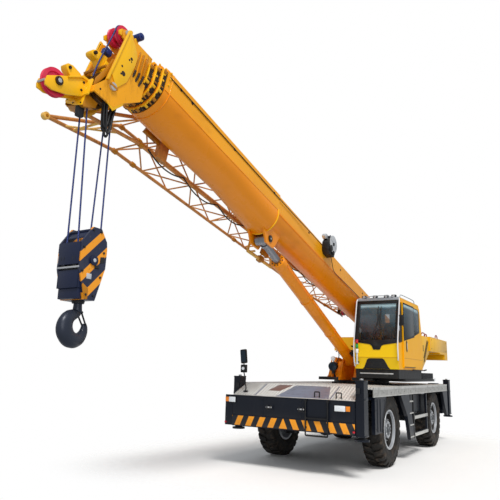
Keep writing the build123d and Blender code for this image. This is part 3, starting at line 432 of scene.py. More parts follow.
class Shape:
    """A mesh that grows from bmesh operators and ends as one piece."""

    def __init__(self):
        self.bm = bmesh.new()
        self.slot = 0

    def _placed(self, verts, matrix):
        bmesh.ops.transform(self.bm, matrix=matrix, verts=verts)
        for face in {f for v in verts for f in v.link_faces}:
            face.material_index = self.slot
        return verts

    def _bevel(self, edges, width):
        if width:
            made = bmesh.ops.bevel(self.bm, geom=edges, offset=width, offset_type="OFFSET", segments=2,
                profile=0.5, affect="EDGES", clamp_overlap=True, material=-1)
            for face in made["faces"]:
                face.material_index = self.slot

    def _round(self, verts, width):
        self._bevel([e for e in {e for v in verts for e in v.link_edges} if e.calc_face_angle(0) > 0.5],
            width)

    def block(self, low, high, round_by=0.004, turn=None):
        """A bevelled block between two corners, turned about its own middle."""
        corners = list(zip(low, high))
        low, high = Vector(map(min, corners)), Vector(map(max, corners))
        verts = bmesh.ops.create_cube(self.bm, size=1)["verts"]
        size = high - low
        place = Matrix.Translation((low + high) / 2) @ (turn
            or Matrix.Identity(4)) @ Matrix.Diagonal((*size, 1))
        self._placed(verts, place)
        self._round(verts, round_by)
        return self

    def set_block(self, origin, low, high, round_by=0.004, ahead=-ALONG, over=ABOVE):
        """A bevelled block about an origin, measured along X, the way ahead and the way over."""
        before = set(self.bm.verts)
        self.block(low, high, round_by)
        made = [v for v in self.bm.verts if v not in before]
        turn = Matrix((LEFT, ahead, over)).transposed().to_4x4()
        bmesh.ops.transform(self.bm, matrix=Matrix.Translation(origin) @ turn, verts=made)
        return self

    def box(self, low, high, *shape):
        """A block between two corners given by their stations."""
        return self.block(at(*low), at(*high), *shape)

    def bar(self, start, end, radius, sides=12, round_by=0.0, top=None):
        """A round bar between two points, or a cone with a top radius. BOLT makes it a hexagon head."""
        start, end = Vector(start), Vector(end)
        verts = bmesh.ops.create_cone(self.bm, cap_ends=True, segments=sides, radius1=radius,
            radius2=radius if top is None else top, depth=(end - start).length)["verts"]
        turn = Vector((0, 0, 1)).rotation_difference(end - start).to_matrix().to_4x4()
        self._placed(verts, Matrix.Translation((start + end) / 2) @ turn)
        self._bevel([e for e in {e for v in verts for e in v.link_edges}
            if any(len(f.verts) > 4 for f in e.link_faces)], round_by)
        return self

    def pin(self, first, second, station, z, radius, *shape, **cone):
        """A bar across the machine, from one X to another, at a station and a height."""
        return self.bar(at(first, station, z), at(second, station, z), radius, *shape, **cone)

    def post(self, x, station, low, high, radius, *shape, **cone):
        """An upright bar from one height to another."""
        return self.bar(at(x, station, low), at(x, station, high), radius, *shape, **cone)

    def rod(self, x, front, rear, z, radius, *shape, **cone):
        """A bar along the machine, from one station to another."""
        return self.bar(at(x, front, z), at(x, rear, z), radius, *shape, **cone)

    def boom_pin(self, first, second, along, up, radius, *shape, **cone):
        """A bar across the boom, from one X to another, in boom measures."""
        return self.bar(boom_at(first, along, up), boom_at(second, along, up), radius, *shape, **cone)

    def turned(self, profile, centre, axis, steps=48):
        """A profile of (offset along the axis, radius) spun round the axis."""
        axis = Vector(axis).normalized()
        side = axis.orthogonal().normalized()
        verts = [self.bm.verts.new(Vector(centre) + axis * a + side * r) for a, r in profile]
        edges = [self.bm.edges.new(pair) for pair in zip(verts, verts[1:])]
        made = bmesh.ops.spin(self.bm, geom=verts + edges, cent=Vector(centre), axis=axis,
            angle=2 * math.pi, steps=steps, use_merge=True)
        near = {v for e in made["geom_last"] if isinstance(e, bmesh.types.BMVert) for v in [e]} | set(verts)
        whole = set(near)
        grow = list(near)
        while grow:
            v = grow.pop()
            for e in v.link_edges:
                w = e.other_vert(v)
                if w not in whole:
                    whole.add(w)
                    grow.append(w)
        bmesh.ops.remove_doubles(self.bm, verts=list(whole), dist=1e-5)
        faces = list({f for v in whole if v.is_valid for f in v.link_faces})
        bmesh.ops.recalc_face_normals(self.bm, faces=faces)
        for face in faces:
            face.material_index = self.slot
            face.smooth = True
        return self

    def plate(self, outline, thick, place, round_by=0.003):
        """A flat plate from depth 0 to thick. Its place turns (u, v, depth) into a point of the frame."""
        verts = [self.bm.verts.new(place(u, v, 0)) for u, v in outline]
        face = self.bm.faces.new(verts)
        made = bmesh.ops.extrude_face_region(self.bm, geom=[face])["geom"]
        moved = [g for g in made if isinstance(g, bmesh.types.BMVert)]
        bmesh.ops.translate(self.bm, verts=moved, vec=place(0, 0, thick) - place(0, 0, 0))
        everything = verts + moved
        faces = list({f for v in everything for f in v.link_faces})
        bmesh.ops.recalc_face_normals(self.bm, faces=faces)
        for f in faces:
            f.material_index = self.slot
        self._round(everything, round_by)
        return self

    def ring_of(self, count, centre, axis, build):
        """Repeats what build adds at count places round an axis."""
        for k in range(count):
            before = set(self.bm.verts)
            build(self)
            added = [v for v in self.bm.verts if v not in before]
            bmesh.ops.rotate(self.bm, verts=added, cent=Vector(centre), matrix=Matrix.Rotation(2 * math.pi
                * k / count, 3, Vector(axis)))
        return self

    def use(self, index):
        self.slot = index
        return self

    def piece(self, name, body, slot, finishes, smooth=30, replaces=()):
        """Ends the mesh as an object that rides on a body. Its finishes are names, in the order of use."""
        mesh = bpy.data.meshes.new(name)
        for face in self.bm.faces:
            face.smooth = True
        self.bm.to_mesh(mesh)
        self.bm.free()
        for finish in finishes.split():
            mesh.materials.append(FINISH[finish])
        mesh.set_sharp_from_angle(angle=math.radians(smooth))
        obj = hang(name, mesh, body)
        if replaces:
            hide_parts(*replaces)
        return obj


def swept(name, lines, radius, bevel, steps, widths=None):
    """The mesh of a round section swept along smooth lines. Widths scale the section from point to point."""
    curve = bpy.data.curves.new(name, "CURVE")
    curve.dimensions = "3D"
    curve.bevel_depth = radius
    curve.bevel_resolution = bevel
    curve.resolution_u = steps
    curve.use_fill_caps = True
    for line in lines:
        spline = curve.splines.new("NURBS")
        spline.points.add(len(line) - 1)
        for point, place, width in zip(spline.points, line, widths or [1.0] * len(line)):
            point.co = (*place, 1)
            point.radius = width
        spline.order_u = 3
        spline.use_endpoint_u = True
    holder = bpy.data.objects.new(name + "_line", curve)
    bpy.context.scene.collection.objects.link(holder)
    bpy.context.view_layer.update()
    mesh = bpy.data.meshes.new_from_object(holder.evaluated_get(bpy.context.evaluated_depsgraph_get()))
    bpy.data.objects.remove(holder)
    mesh.name = name
    return mesh


def hang(name, mesh, body):
    """Makes a mesh an object, riding on a body when one is given."""
    obj = bpy.data.objects.new(name, mesh)
    bpy.context.scene.collection.objects.link(obj)
    if body:
        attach(obj, body)
    return obj


def hose(name, points, radius, body, slot, finish=None, sides=12):
    """A round hose, rail or wire along one smooth line, or several."""
    lines = points if isinstance(points[0][0], (tuple, list, Vector)) else [points]
    mesh = swept(name, lines, radius, max(1, sides // 4 - 1), 6)
    mesh.materials.clear()
    mesh.materials.append(FINISH[finish or slot])
    bm = bmesh.new()
    bm.from_mesh(mesh)
    for face in bm.faces:
        face.material_index = 0
        face.smooth = True
    bmesh.ops.recalc_face_normals(bm, faces=bm.faces[:])
    bm.to_mesh(mesh)
    bm.free()
    return hang(name, mesh, body)


def mm(*values):
    """The corners of an outline, or of a profile, from millimetres: u, v, u, v and so on."""
    return [(u / 1000, v / 1000) for u, v in zip(values[::2], values[1::2])]


def oblong(left, right, low, high):
    """The four corners of an upright rectangle."""
    return (left, low), (right, low), (right, high), (left, high)


def on_boom_side(x, side=1):
    """Places a plate flat on a vertical face of the boom, growing outwards."""
    return lambda u, v, depth: boom_at(x + side * depth, u, v)


def facing_front(y):
    """Places a plate on a front face: u is X, v is Z, growing forwards."""
    return lambda u, v, depth: Vector((u, y - depth, v))


def facing_side(x, side=1):
    """Places a plate on a side face: u is Y, v is Z, growing outwards."""
    return lambda u, v, depth: Vector((x + side * depth, u, v))


def station_side(x, side=1):
    """Like facing_side, with u as a station behind the front axle."""
    return lambda u, v, depth: at(x + side * depth, u, v)


def make_finishes(c):
    """Every finish, under the name of its record slot or of the detail that it covers."""
    boom_paint("boom_paint", c.boom)
    paint("boom_bright", "FDBE1A", 0.3, 0.4, grime="6A3A0C", amount=0.9)
    paint("head_paint", "F5A716", 0.35, 0.25, grime="4E2A0A", amount=2.4)
    paint("collar_paint", "BC7A16", 0.4, 0.2, grime="2A1A0A", amount=2.0)
    plastic("greased", "2C1B0C", 0.35)
    cab_enamel("cab_paint", c.cab)
    paint("counterweight_paint", "F8BE14", 0.3, 0.4, amount=0.4)
    paint("carrier_paint", c.carrier, 0.35, 0.35, grime="3A3634", amount=0.5)
    paint("block_dark", c.block, 0.35, 0.3, grime="4A4A50", amount=0.5)
    stripes("hook_block_paint", c.hazard, c.block, 0.235, along="Y", rise=-1.0, share=0.42)
    paint("hook_steel", c.hook, 0.38, 0.3, grime="2A2420", amount=0.8, metal=0.2)
    stripes("hazard", c.hazard, shade(c.carrier, 0.7), 0.225, middle=-0.13, rise=0.45, share=0.5)
    jib_paint("jib_paint", c.jib)
    jib_paint("jib_strut", "F0C062")
    rubber("tyre", c.rubber)
    paint("rim_paint", c.rim, 0.35, 0.15, grime="5E574F", amount=0.9, metal=0.35)
    bare_metal("rim_bright", "DADDE0", 0.25, metallic=0.5)
    paint("rim_dish", "1E1C1A", 0.5, 0.1, grime="4A443C", amount=0.9)
    paint("hub_paint", "5A5E62", 0.4, 0.15, grime="6A6055", amount=1.0, metal=0.3)
    # Painted reflection: a brown patch on the slope stands in for the boom seen in the smooth panel.
    deck_metal("rust_patch", "8C6A60")
    bare_metal("glass_dark", "3A4550", 0.06, metallic=1.0)
    paint("axle_metal", "26282C", 0.5, 0.1, grime="4C443C", amount=1.2)
    bare_metal("engine_metal", "4A4C50", 0.45, metallic=0.4)
    tread_plate("deck_plate", c.plate)
    # Painted reflection: the slope panel's blue-grey colour stands in for the sky seen in it.
    deck_metal("deck_smooth", "8D92A6")
    bare_metal("deck_edge", "D6D6D2", 0.3, metallic=0.45)
    plastic("black_trim", c.trim)
    glazing("glass", "12181C")
    fabric("seat_fabric", "8E8474")
    plastic("sheave_nylon", c.sheave, 0.35)
    paint("sheave_brown", "5A3A12", 0.4, 0.2, grime="1E130A", amount=1.4)
    plastic("sheave_dark", "1A1C22", 0.4)
    paint("roof_grey", "A9B0B8", 0.4, 0.2, grime="4A4C50", amount=1.2)
    paint("white_bar", "E8EDF4", 0.3, 0.3, grime="8088A8", amount=0.8)
    # Painted shade: a darker orange-yellow for the line where the cab panels fold at the crease.
    paint("crease", "C88E0A", 0.4, 0.1, amount=0.8)
    glazing("glass_side", "0C1216", 0.03)
    plastic("hose_red", "8E2A1E", 0.45)
    bare_metal("rod_chrome", "9C9EA4", 0.18)
    bare_metal("bright_metal", "D2D4D6", 0.25, metallic=0.7)
    wire_rope("rope", c.rope)
    bare_metal("reel_metal", "C9CDD6", 0.25, metallic=0.8)
    lamp_lens("lamp_red", "C8142A")
    lamp_lens("lamp_green", "1E9A4C")
    lamp_lens("lamp_orange", "F28A12")
    lamp_lens("lamp_white", "E9EEF2")
    fabric("blind", "C9B99A")
    plastic("headliner", "8FA3B4", 0.7)
    plastic("blue_cap", "1C2F6E", 0.35)


def stage_light(name, place, aim, size, power, tint=(1, 1, 1)):
    light = bpy.data.lights.new(name, "AREA")
    light.shape, light.size, light.energy, light.color = "DISK", size, power, tint
    lamp = bpy.data.objects.new(name, light)
    bpy.context.scene.collection.objects.link(lamp)
    lamp.location = place
    lamp.rotation_euler = (Vector(aim) - Vector(place)).to_track_quat("-Z", "Y").to_euler()


def build_stage():
    """Camera at the fitted viewpoint, a pale floor that fades into a white surround, and soft lights."""
    scene = bpy.context.scene
    scene.view_settings.view_transform = "Standard"
    yaw, pitch, roll = (math.radians(v) for v in (30.66057, 12.38861, 1.6284))
    ahead = Vector((-math.sin(yaw) * math.cos(pitch), math.cos(yaw) * math.cos(pitch), math.sin(pitch)))
    right = Vector((math.cos(yaw), math.sin(yaw), 0))
    up = right.cross(ahead)
    right, up = right * math.cos(roll) + up * math.sin(roll), up * math.cos(roll) - right * math.sin(roll)
    lens = bpy.data.cameras.new("camera")
    lens.lens, lens.sensor_width, lens.clip_end = 39.17, 36.0, 400.0
    camera = bpy.data.objects.new("camera", lens)
    scene.collection.objects.link(camera)
    camera.matrix_world = Matrix((( right.x, up.x, -ahead.x, 4.28368), (right.y, up.y, -ahead.y, -9.54215),
        (right.z, up.z, -ahead.z, 1.66619), (0, 0, 0, 1)))
    scene.camera = camera

    floor = Finish("floor_finish", Specular_IOR_Level=0.0)
    floor.shader.inputs["Roughness"].default_value = 1.0
    beyond_side = (abs(floor.axis("X") + 0.35) - 1.7).floored()
    beyond_end = (abs(floor.axis("Y") - 2.6) - 3.6).floored()
    spread = floor.add("ShaderNodeMath", {"operation": "SQRT"}, {0: beyond_side * beyond_side + beyond_end
        * beyond_end})
    tone = floor.blend(floor.noise(0.8, 3, 0.5), (0.93, 0.93, 0.93), (0.96, 0.96, 0.96))
    floor.feed(Base_Color=tone)
    clear = floor.add("ShaderNodeBsdfTransparent")
    fade = floor.step(spread, 0.3, 2.6)
    mixed = floor.add("ShaderNodeMixShader", None, {0: fade, 1: Link(floor, floor.shader.outputs[0]),
        2: clear})
    out = next(n for n in floor.tree.nodes if n.type == "OUTPUT_MATERIAL")
    floor.tree.links.new(mixed.socket, out.inputs[0])
    bm = bmesh.new()
    bmesh.ops.create_circle(bm, cap_ends=True, segments=96, radius=14)
    mesh = bpy.data.meshes.new("floor")
    bm.to_mesh(mesh)
    bm.free()
    mesh.materials.append(floor.material)
    ground = bpy.data.objects.new("floor", mesh)
    scene.collection.objects.link(ground)

    world = bpy.data.worlds.new("surround")
    scene.world = world
    world.use_nodes = True
    nodes, links = world.node_tree.nodes, world.node_tree.links
    seen = nodes["Background"]
    seen.inputs[0].default_value, seen.inputs[1].default_value = (1, 1, 1, 1), 1.0
    lit = nodes.new("ShaderNodeBackground")
    lit.inputs[0].default_value, lit.inputs[1].default_value = (0.94, 0.97, 1.0, 1), 0.46
    path = nodes.new("ShaderNodeLightPath")
    either = nodes.new("ShaderNodeMath")
    either.operation = "MAXIMUM"
    links.new(path.outputs["Is Camera Ray"], either.inputs[0])
    links.new(path.outputs["Is Transmission Ray"], either.inputs[1])
    both = nodes.new("ShaderNodeMixShader")
    links.new(either.outputs[0], both.inputs[0])
    links.new(lit.outputs[0], both.inputs[1])
    links.new(seen.outputs[0], both.inputs[2])
    links.new(both.outputs[0], nodes["World Output"].inputs[0])

    sun = bpy.data.lights.new("key", "SUN")
    sun.energy, sun.angle, sun.color = 2.35, math.radians(20), (1.0, 0.97, 0.93)
    key = bpy.data.objects.new("key", sun)
    scene.collection.objects.link(key)
    key.rotation_euler = Vector((-0.5, 0.42, -1.0)).to_track_quat("-Z", "Y").to_euler()
    stage_light("fill", (9, -12, 5), (0, 0, 2.5), 8, 330)


def dress_frame():
    """Gives each CAD node the finish of its record slot."""
    for name, node in NODES.items():
        node.data.materials.clear()
        node.data.materials.append(FINISH["head_paint" if name == "boom_head" else SLOT_OF[name]])


def build_tyre(end, hand, sizes):
    centre, side = WHEELS[end, hand], (1 if hand == "left" else -1)
    s, depth = Shape(), sizes.lug_depth
    tread = HUB_HEIGHT - depth
    half = [(0.0, tread - 0.004), (0.1, tread - 0.006), (0.15, tread - 0.014), (0.172, tread - 0.034),
        (0.182, 0.575), (0.1862, 0.545), (0.1872, 0.515), (0.184, 0.512), (0.1846, 0.5), (0.187, 0.496),
        (0.1862, 0.455), (0.18, 0.425), (0.1765, 0.422), (0.175, 0.412), (0.172, 0.404), (0.16, 0.378),
        (0.142, 0.362), (0.138, 0.335), (0.0, 0.331)]
    s.turned([(a, r) for a, r in half] + [(-a, r) for a, r in half[-2:0:-1]] + [half[0]], centre,
        (side, 0, 0), 72)

    def lug(hand_of):
        outline = ((0.01, tread - 0.02), (0.01, 0.6515), (0.142, 0.6515), (0.166, 0.64), (0.1855, 0.6),
            (0.1868, 0.568), (0.172, 0.57), (0.15, tread - 0.03))
        def add(shape):
            shape.plate(outline, 0.088, lambda u, v, deep: Vector((centre.x + hand_of * u,
                centre.y + deep - 0.044 + 0.3 * (u - 0.09), centre.z + v)), 0.004)
        return add

    for hand_of, start in ((1, 0.0), (-1, 0.5)):
        first = set(s.bm.verts)
        s.ring_of(sizes.lug_count, centre, (1, 0, 0), lug(hand_of))
        made = [v for v in s.bm.verts if v not in first]
        bmesh.ops.rotate(s.bm, verts=made, cent=centre, matrix=Matrix.Rotation(start * 2 * math.pi
            / sizes.lug_count, 3, "X"))
    s.piece(f"tyre_tread_{end}_{hand}", f"wheel_{end}_{hand}", "tyre", "tyre", 40, [f"tyre_{end}_{hand}"])


def build_hub(end, hand, sizes):
    centre, side = WHEELS[end, hand], (1 if hand == "left" else -1)
    s = Shape()
    s.turned(mm(140, 334, 157, 338, 158.5, 350, 150, 353.5, 150, 346, 139, 342, 140, 334), centre,
        (side, 0, 0), 72)
    s.use(1).turned(mm(46, 299, 58, 292, 52, 240, 50, 205, 46, 176, 45, 176, 45, 299, 46, 299), centre,
        (side, 0, 0), 60)
    # Painted shade: a thin dark sleeve in the dish finish lines the rim's inner cone, leaving only its outer
    # part and the flange bright.
    s.turned(mm(47, 298.5, 116, 310, 116, 308.5, 110, 306.5, 47, 296.5, 47, 298.5), centre, (side, 0, 0),
        72)
    s.use(2).turned(mm(46, 152, 52, 164, 62, 153.5, 116, 153.5, 124.5, 150, 124.5, 94, 116, 94, 46, 152),
        centre, (side, 0, 0), 48)
    s.turned(mm(118, 0, 158, 0, 158, 38, 150, 52, 134, 60, 134, 94, 127, 102, 118, 102, 118, 0), centre,
        (side, 0, 0), 48)
    out = Vector((side, 0, 0))
    s.use(3).ring_of(sizes.nut_count, centre, (1, 0, 0), lambda t: t.bar(centre + out * 0.05 + UP * 0.196,
        centre + out * 0.084 + UP * 0.196, 0.017, *BOLT).bar(centre + out * 0.083 + UP * 0.196,
        centre + out * 0.1 + UP * 0.196, 0.009, 10))
    s.ring_of(12, centre, (1, 0, 0), lambda t: t.bar(centre + out * 0.124 + UP * 0.128,
        centre + out * 0.137 + UP * 0.128, 0.01, 6, 0.0015))
    s.use(1).ring_of(8, centre, (1, 0, 0), lambda t: t.bar(centre + out * 0.05 + UP * 0.252,
        centre + out * 0.056 + UP * 0.252, 0.026, 16, 0.002))
    s.use(3).bar(centre + out * 0.05 + Vector((0, 0.1, 0.262)), centre + out * 0.112
        + Vector((0, 0.115, 0.285)), 0.006, 8)
    s.piece(f"wheel_hub_{end}_{hand}", f"wheel_{end}_{hand}", "rim_paint",
        "rim_bright rim_dish hub_paint bright_metal")


def build_front(sizes):
    """Warning band, lamps, tow eyes, folding step, hatch lines and slope trim on the front box."""
    front = AXLE - 1.7
    s = Shape()
    s.plate(oblong(-1.305, 1.155, 0.69, 0.855), 0.004, facing_front(front), 0.0015)
    s.use(1)
    for low, high in ((-1.15, -0.53), (-0.5, 0.215), (0.74, 1.145)):
        s.plate(oblong(low, high, 0.885, 1.19), 0.003, facing_front(front), 0.0015)
    for x in (-1.12, -0.55, -0.48, 0.195, 0.76, 1.12):
        for z in (0.905, 1.17):
            s.use(2).bar((x, front - 0.002, z), (x, front - 0.009, z), 0.01, 6, 0.001)
    s.use(1).block((-1.16, front - 0.006, 1.192), (1.16, front + 0.01, 1.212), 0.002)
    s.block((-1.16, front - 0.006, 0.676), (1.16, front + 0.02, 0.692), 0.002)
    s.block((-1.313, front - 0.005, 0.686), (-1.158, front + 0.004, 1.212), 0.003)
    s.piece("front_panels", "carrier", "carrier_paint", "hazard carrier_paint black_trim")

    s = Shape()
    for x in (-0.39, 0.225):
        s.use(0).plate(oblong(x - 0.07, x + 0.07, 0.98, 1.09), 0.006, facing_front(front - 0.003), 0.002)
        for side in (-1, 1):
            s.use(1).plate(((front - 0.07, 1.03), (front - 0.058, 1.062), (front - 0.02, 1.072),
                (front, 1.072), (front, 0.996), (front - 0.02, 0.996), (front - 0.058, 1.006)), 0.016,
                facing_side(x + side * 0.032 - 0.008), 0.002)
        s.use(2).bar((x - 0.055, front - 0.044, 1.034), (x + 0.055, front - 0.044, 1.034), 0.013, 16, 0.002)
    s.piece("tow_eyes", "carrier", "carrier_paint", "carrier_paint axle_metal bright_metal")

    s = Shape()
    for low, high, centre in ((-1.3, -1.235, 1.13), (1.015, 1.085, 1.085)):
        s.use(1).block((low, front - 0.034, centre - 0.04), (high, front - 0.01, centre + 0.04), 0.006)
    for low, high, centre in ((-1.228, -1.095, 1.13), (0.82, 1.005, 1.085)):
        s.use(2).block((low, front - 0.034, centre - 0.045), (high, front - 0.01, centre + 0.045), 0.008)
    for low, high, centre in ((-1.308, -1.085, 1.13), (0.81, 1.095, 1.085)):
        s.use(0).block((low, front - 0.014, centre - 0.056), (high, front + 0.002, centre + 0.056))
    for x in (-1.3, 1.14):
        s.use(3).block((x - 0.018, front - 0.012, 0.715), (x + 0.018, front - 0.002, 0.745), 0.003)
    s.piece("front_lamps", "carrier", "carrier_paint", "black_trim lamp_orange lamp_white lamp_red")

    hose("front_step_frame", [[(0.3, front - 0.018, 1.185), (0.3, front - 0.026, 1.16),
        (0.3, front - 0.026, 0.7), (0.3, front - 0.026, 0.622), (0.33, front - 0.026, 0.622),
        (0.67, front - 0.026, 0.622), (0.7, front - 0.026, 0.622), (0.7, front - 0.026, 0.7),
        (0.7, front - 0.026, 1.16), (0.7, front - 0.018, 1.185)], [(0.3, front - 0.026, 0.9),
        (0.5, front - 0.026, 0.9), (0.7, front - 0.026, 0.9)]], 0.013, "carrier", "black_trim")
    s = Shape()
    for z in (0.625, 0.902):
        s.block((0.31, front - 0.045, z - 0.008), (0.69, front - 0.008, z + 0.01), 0.003)
        for k in range(9):
            s.block((0.335 + k * 0.042, front - 0.047, z + 0.009), (0.347 + k * 0.042, front - 0.006,
                z + 0.014), 0.001)
    for x in (0.3, 0.7):
        s.block((x - 0.02, front - 0.03, 1.165), (x + 0.02, front + 0.004, 1.2), 0.003)
        s.block((x - 0.016, front - 0.02, 0.735), (x + 0.016, front + 0.002, 0.765), 0.003)
    s.piece("front_step_treads", "carrier", "black_trim", "black_trim")


def slope_at(lift=0.0):
    """Places a plate on the sloped front deck: u is X, v runs up the slope from its front edge."""
    along = Vector((0, 0.5, 0.221)).normalized()
    square = Vector((0, -0.221, 0.5)).normalized()
    return lambda u, v, depth: at(u, -1.7, 1.205) + along * v + square * (depth + lift)


def build_deck(sizes):
    """Slope panels, handles, deck edge bands, drain strips and the bolted mats of the deck."""
    s, place = Shape(), slope_at()
    s.plate(mm(-300, 20, 700, 20, 560, 500, -100, 500), 0.004, place, 0.0015)
    # Painted reflection: the brown trapezoid is the boom seen in the smooth slope panel.
    s.use(1).plate(mm(-560, 250, -320, 250, -170, 500, -440, 500), 0.003, place, 0.001)
    s.use(2).plate(oblong(-1.155, 1.155, 0.0, 0.022), 0.01, place)
    for low, high in ((-1.158, -1.14), (1.14, 1.158)):
        s.plate(oblong(low, high, 0.0, 0.535), 0.008, place, 0.002)
    for x in (-0.72, 0.72):
        s.use(0).plate(oblong(x - 0.01, x + 0.01, 0.03, 0.52), 0.005, place, 0.001)
    for x, v in ((-1.1, 0.06), (-1.1, 0.48), (-0.76, 0.06), (-0.76, 0.48), (-0.24, 0.06), (-0.06, 0.46),
            (0.52, 0.46), (0.64, 0.06), (0.78, 0.06), (0.78, 0.48), (1.1, 0.06), (1.1, 0.48)):
        s.use(2).bar(place(x, v, 0.002), place(x, v, 0.009), 0.011, 12, 0.002)
    s.piece("slope_panels", "carrier", "deck_plate", "deck_smooth rust_patch deck_edge")

    lines = []
    for x in (0.47, 0.86):
        a, b = place(x - 0.045, 0.075, 0.0), place(x + 0.045, 0.075, 0.0)
        top = Vector((0, 0, 0.092))
        lines.append([a, a + top * 0.7, a + top, a + top + (b - a) * 0.25, b + top - (b - a) * 0.25,
            b + top, b + top * 0.7, b])
    hose("deck_handles", lines, 0.011, "carrier", "black_trim")

    s = Shape()
    for side in (-1, 1):
        place = facing_side(side * 1.315, side)
        s.use(0).plate(oblong(AXLE - 1.197, AXLE + 4.935, 1.38, 1.4285), 0.0035, place, 0.001)
        s.plate(oblong(AXLE - 1.197, AXLE + 4.935, 1.262, 1.28), 0.0035, place, 0.001)
        for k in range(14):
            y = AXLE - 1.08 + k * 0.455
            s.use(1).bar((side * 1.315, y, 1.33), (side * 1.32, y, 1.33), 0.009, 6, 0.001)
        for k in range(1, 4):
            y = AXLE - 1.197 + k * 1.533
            s.use(1).plate(oblong(y - 0.003, y + 0.003, 1.282, 1.378), 0.001, place, 0.0003)
    s.piece("deck_edge_bands", "carrier", "deck_plate", "deck_edge axle_metal")

    s = Shape()
    for x in (-1.12, -0.8, 0.8, 1.12):
        for k in range(7):
            y = AXLE - 1.05 + k * 0.95
            if abs(y - AXLE - 2.0) < 0.9 and abs(x) < 0.9:
                continue
            s.use(0).bar((x, y, 1.4255), (x, y, 1.4305), 0.012, 12, 0.001)
    for y in (-0.32, 0.84, 3.25, 4.1):
        s.use(1).box((-1.28, y - 0.004, 1.4245), (1.28, y + 0.004, 1.4275), 0.001)
    s.use(1).box((-1.155, 4.945, 1.425), (1.155, 5.4, 1.4285), 0.001)
    for side in (-1, 1):
        s.use(2).box((side * 1.02 - 0.1, 4.55, 1.426), (side * 1.02 + 0.1, 4.9, 1.452), 0.006)
    s.piece("deck_fixings", "carrier", "deck_plate", "bright_metal black_trim carrier_paint")


def flank_block(shape, side, deep, low, high, round_by=0.004, inset=0.0005):
    """A block against a flank of the carrier, from one (station, z) to another, held inside by an inset."""
    near, far = sorted((side * FLANK, side * (FLANK - deep)))
    return shape.box((near, *low), (far - inset, *high), round_by)


def build_sides(sizes):
    """Guard folds, ladders, tank straps, filters and small fittings between the wheels, on both sides."""
    for side, hand in ((1, "left"), (-1, "right")):
        s = Shape()
        outer = side * FLANK
        for low, high, z in ((-1.145, -0.515, 1.245), (4.345, 4.935, 1.245), (0.475, 1.095, 1.245)):
            flank_block(s.use(0), side, 0.012, (low, z), (high, z + 0.016), 0.002, (side > 0) * 0.0005)
        for y0, z0, y1, z1 in ((-0.515, 1.24, -0.7, 0.905), (-0.7, 0.905, -0.757, 0.665),
                (0.478, 1.24, 0.905, 0.842), (0.905, 0.842, 1.105, 0.385), (4.348, 1.24, 4.562, 0.905),
                (4.562, 0.905, 4.738, 0.665)):
            s.use(0).bar(at(outer - side * 0.006, y0, z0), at(outer - side * 0.006, y1, z1), 0.008, 10)
        for y in (-1.02, -0.86):
            s.post(outer - side * 0.004, y, 0.69, 1.23, 0.005, 8)
        for y in (-1.09, -0.62):
            for z in (1.2, 1.05, 0.74):
                if y > -0.7 and z < 1.0:
                    continue
                s.use(1).pin(outer - side * 0.006, outer - side * 0.0005, y, z, 0.01, 6, 0.001)
        for z in (0.45, 0.79):
            flank_block(s.use(2), side, 0.035, (1.5, z - 0.034), (2.63, z + 0.034), 0.008)
            for k in range(14):
                flank_block(s.use(1), side, 0.035, (1.54 + k * 0.08, z + 0.03),
                    (1.57 + k * 0.08, z + 0.037), 0.001, 0.001)
        for z in (0.43, 0.66, 0.89, 1.12):
            flank_block(s.use(2), side, 0.05, (1.115, z - 0.012), (1.385, z + 0.012))
        flank_block(s.use(3), side, 0.03, (1.39, 0.39), (1.46, 1.25))
        s.piece(f"side_fittings_{hand}", "carrier", "carrier_paint",
            "carrier_paint axle_metal deck_edge black_trim")

        s = Shape()
        for y in (1.68, 2.32):
            s.use(0).box((side * 0.49, y - 0.028, 0.812), (side * 1.188, y + 0.028, 1.288), 0.02)
        s.use(1).post(side * 0.95, 1.6, 1.275, 1.335, 0.055, 24, 0.006)
        s.use(2).post(side * 1.19, 2.6, 0.82, 1.24, 0.062, 24, 0.01)
        s.use(1).post(side * 1.19, 2.6, 1.235, 1.262, 0.072, 24, 0.006)
        s.use(2).post(side * 1.15, 2.83, 0.9, 1.22, 0.045, 20, 0.008)
        s.piece(f"tank_fittings_{hand}", "carrier", "carrier_paint", "black_trim bright_metal axle_metal")
        hose(f"side_hoses_{hand}", [path(at, (side * 1.19, 2.6, 0.83), (side * 1.18, 2.6, 0.72),
            (side * 1.1, 2.66, 0.68), (side * 0.8, 2.68, 0.74), (side * 0.5, 2.7, 0.95)),
            path(at, (side * 1.15, 2.83, 0.91), (side * 1.15, 2.82, 0.8), (side * 1.05, 2.74, 0.74),
            (side * 0.7, 2.73, 0.82), (side * 0.5, 2.74, 1.0)), path(at, (side * 1.05, -1.25, 1.16),
            (side * 1.1, -1.2, 1.0), (side * 1.0, -1.1, 0.95), (side * 0.6, -0.9, 1.05))],
            sizes.hose_radius, "carrier", "black_trim")


